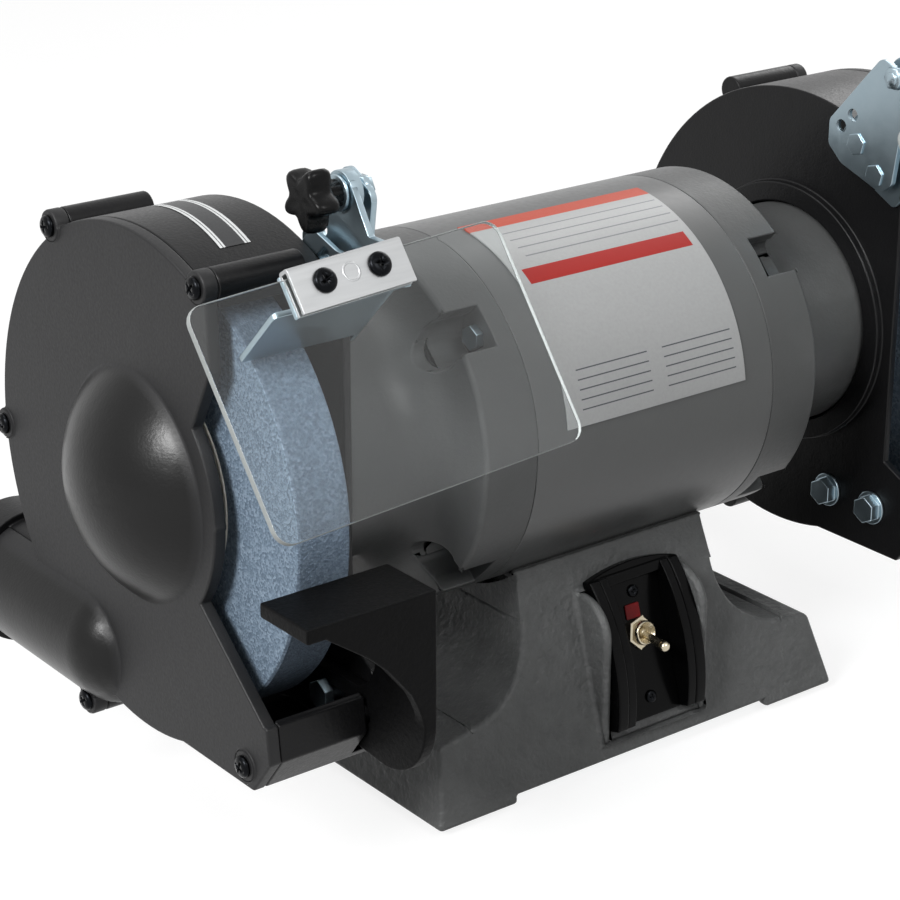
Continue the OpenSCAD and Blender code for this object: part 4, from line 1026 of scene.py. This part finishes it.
stripLook = {
    "name": "printed_foil_strip",  # dull silver foil with black ink, left without wording
    "radius": 113.12, "rear": (-181.9, 104.5), "front": (-189.3, 72.0), "halfWidth": 7.3, "rise": 0.08,
    "silver": "#d2d4d4", "ink": "#1b1c1e", "roughness": (0.35, 0.5), "metallic": 0.3, "ior": 1.5,
    "weaveMm": 1.2,
    "lines": [(-7.3, -4.6), (4.6, 7.3)], "hairlines": [(-6.0, -5.6), (5.6, 6.0)], "endLine": 1.6,
    "rows": 28, "columns": 4,
}


def printedFoil(look):
    material, tree, shader, place = startMaterial(
        look["name"], {"Metallic": look["metallic"], "IOR": look["ior"]})
    weave = addNode(tree, "TexNoise", {"Scale": 1 / mm(look["weaveMm"]), "Detail": 2.0}, {"Vector": place})
    low, high = look["roughness"]
    gloss = addNode(tree, "MapRange", {"To Min": low, "To Max": high}, {"Value": weave})
    axes = addNode(tree, "SeparateXYZ", None, {0: addNode(tree, "UVMap", {"uv_map": "acrossStrip"})})
    tone = addNode(tree, "Mix", {"data_type": "RGBA", 0: 0.0, 6: linearColour(look["ink"])})
    bands = [(band, "silver") for band in look["lines"]] + [(band, "ink") for band in look["hairlines"]]
    for (low, high), colour in bands:
        on = addNode(tree, "Math", {"operation": "COMPARE", 1: (low + high) / 2, 2: (high - low) / 2},
                     {0: axes})
        tone = addNode(tree, "Mix", {"data_type": "RGBA", 7: linearColour(look[colour])},
                       {0: on, 6: tone.outputs[2]})
    atEnd = addNode(tree, "Math", {"operation": "LESS_THAN", 1: look["endLine"]}, {0: axes.outputs[1]})
    tone = addNode(tree, "Mix", {"data_type": "RGBA", 7: linearColour(look["silver"])},
                   {0: atEnd, 6: tone.outputs[2]})
    feed(tree, shader, {"Base Color": tone.outputs[2], "Roughness": gloss})
    return material


# Its UV map holds millimetres: across the strip, and along it from the rear end
def makeStrip(look):
    bm = bmesh.new()
    uvs = bm.loops.layers.uv.new("acrossStrip")
    (x0, a0), (x1, a1) = look["rear"], look["front"]
    rows, columns, reach = look["rows"], look["columns"], mm(look["radius"] + look["rise"])
    grid = []
    for i in range(rows + 1):
        share = i / rows
        angle = math.radians(a0 + (a1 - a0) * share)
        along = share * math.radians(a0 - a1) * look["radius"]
        grid.append([])
        for j in range(columns + 1):
            off = look["halfWidth"] * (2 * j / columns - 1)
            vert = bm.verts.new((mm(x0 + (x1 - x0) * share + off), -reach * math.cos(angle),
                                 mm(shaftHeight) + reach * math.sin(angle)))
            grid[-1].append((vert, (off, along)))
    for a, b in zip(grid, grid[1:]):
        for j in range(columns):
            ring = [a[j], b[j], b[j + 1], a[j + 1]]
            face = bm.faces.new([vert for vert, uv in ring])
            for loop, (vert, uv) in zip(face.loops, ring):
                loop[uvs].uv = uv
    bmesh.ops.recalc_face_normals(bm, faces=bm.faces)
    newPiece("guard_strip", intoMesh(bm, "guard_strip"), printedFoil(look), "housing",
             shading="smooth")


makeStrip(stripLook)
print("switch and strip made")


# Floor, world and lamps

stageLook = {
    "floor": "#7e7e7e", "white": "#ffffff", "size": 14.0, "below": 0.0003, "lift": 0.85,
    "worldStrength": 0.10,
}
lamps = [
    {"name": "key", "at": (-2.1, -0.62, 1.6), "size": 0.75, "watts": 66},
    {"name": "front", "at": (0.1, -2.25, 2.1), "size": 0.9, "watts": 25},
    {"name": "top", "at": (-0.9, 0.5, 2.4), "size": 1.2, "watts": 16},
    {"name": "fill", "at": (2.2, 0.9, 1.5), "size": 1.4, "watts": 22},  # lifts the right and rear
]
lampsAim = Vector((0, 0, 0.15))


# 1 where the backdrop is seen, straight, mirrored or through the clear sheet, and 0 where it gives light
def whereSeen(tree):
    rays = addNode(tree, "LightPath")
    seen = addNode(tree, "Math", {"operation": "MAXIMUM"},
                   {0: rays.outputs["Is Camera Ray"], 1: rays.outputs["Is Glossy Ray"]})
    return addNode(tree, "Math", {"operation": "MAXIMUM"}, {0: seen, 1: rays.outputs["Is Transmission Ray"]})


# Matt white paper, lifted to white wherever it is seen, so that only the shadow shows on it
def paperFloor(look):
    material = bpy.data.materials.new("matt_white_paper_sweep")
    tree = emptyTree(material)
    paper = addNode(tree, "BsdfDiffuse", {"Color": linearColour(look["floor"])})
    lift = addNode(tree, "Math", {"operation": "MULTIPLY", 1: look["lift"]}, {0: whereSeen(tree)})
    glow = addNode(tree, "Emission", {"Color": linearColour(look["white"])}, {"Strength": lift})
    both = addNode(tree, "AddShader", None, {0: paper, 1: glow})
    addNode(tree, "OutputMaterial", None, {"Surface": both})
    return material


def makeStage(look):
    mesh, half = bpy.data.meshes.new("floor"), look["size"] / 2
    corners = [(-half, -half, 0), (half, -half, 0), (half, half, 0), (-half, half, 0)]
    mesh.from_pydata(corners, [], [(0, 1, 2, 3)])
    mesh.materials.append(paperFloor(look))
    floor = linked("floor", mesh)
    floor.location.z = -look["below"]
    world = bpy.data.worlds.new("studio")
    bpy.context.scene.world = world
    tree = emptyTree(world)
    strength = addNode(tree, "MapRange", {"To Min": look["worldStrength"], "To Max": 1.0},
                       {"Value": whereSeen(tree)})
    sky = addNode(tree, "Background", {"Color": linearColour(look["white"])}, {"Strength": strength})
    addNode(tree, "OutputWorld", None, {"Surface": sky})


def makeLamp(look):
    data = bpy.data.lights.new(look["name"], "AREA")
    data.size = look["size"]
    data.energy = look["watts"]
    lamp = linked(look["name"], data)
    lamp.location = look["at"]
    lamp.rotation_euler = (lampsAim - lamp.location).to_track_quat("-Z", "Y").to_euler()


makeStage(stageLook)
for look in lamps:
    makeLamp(look)
bpy.context.scene.view_settings.view_transform = "Standard"
print("stage and lamps set")
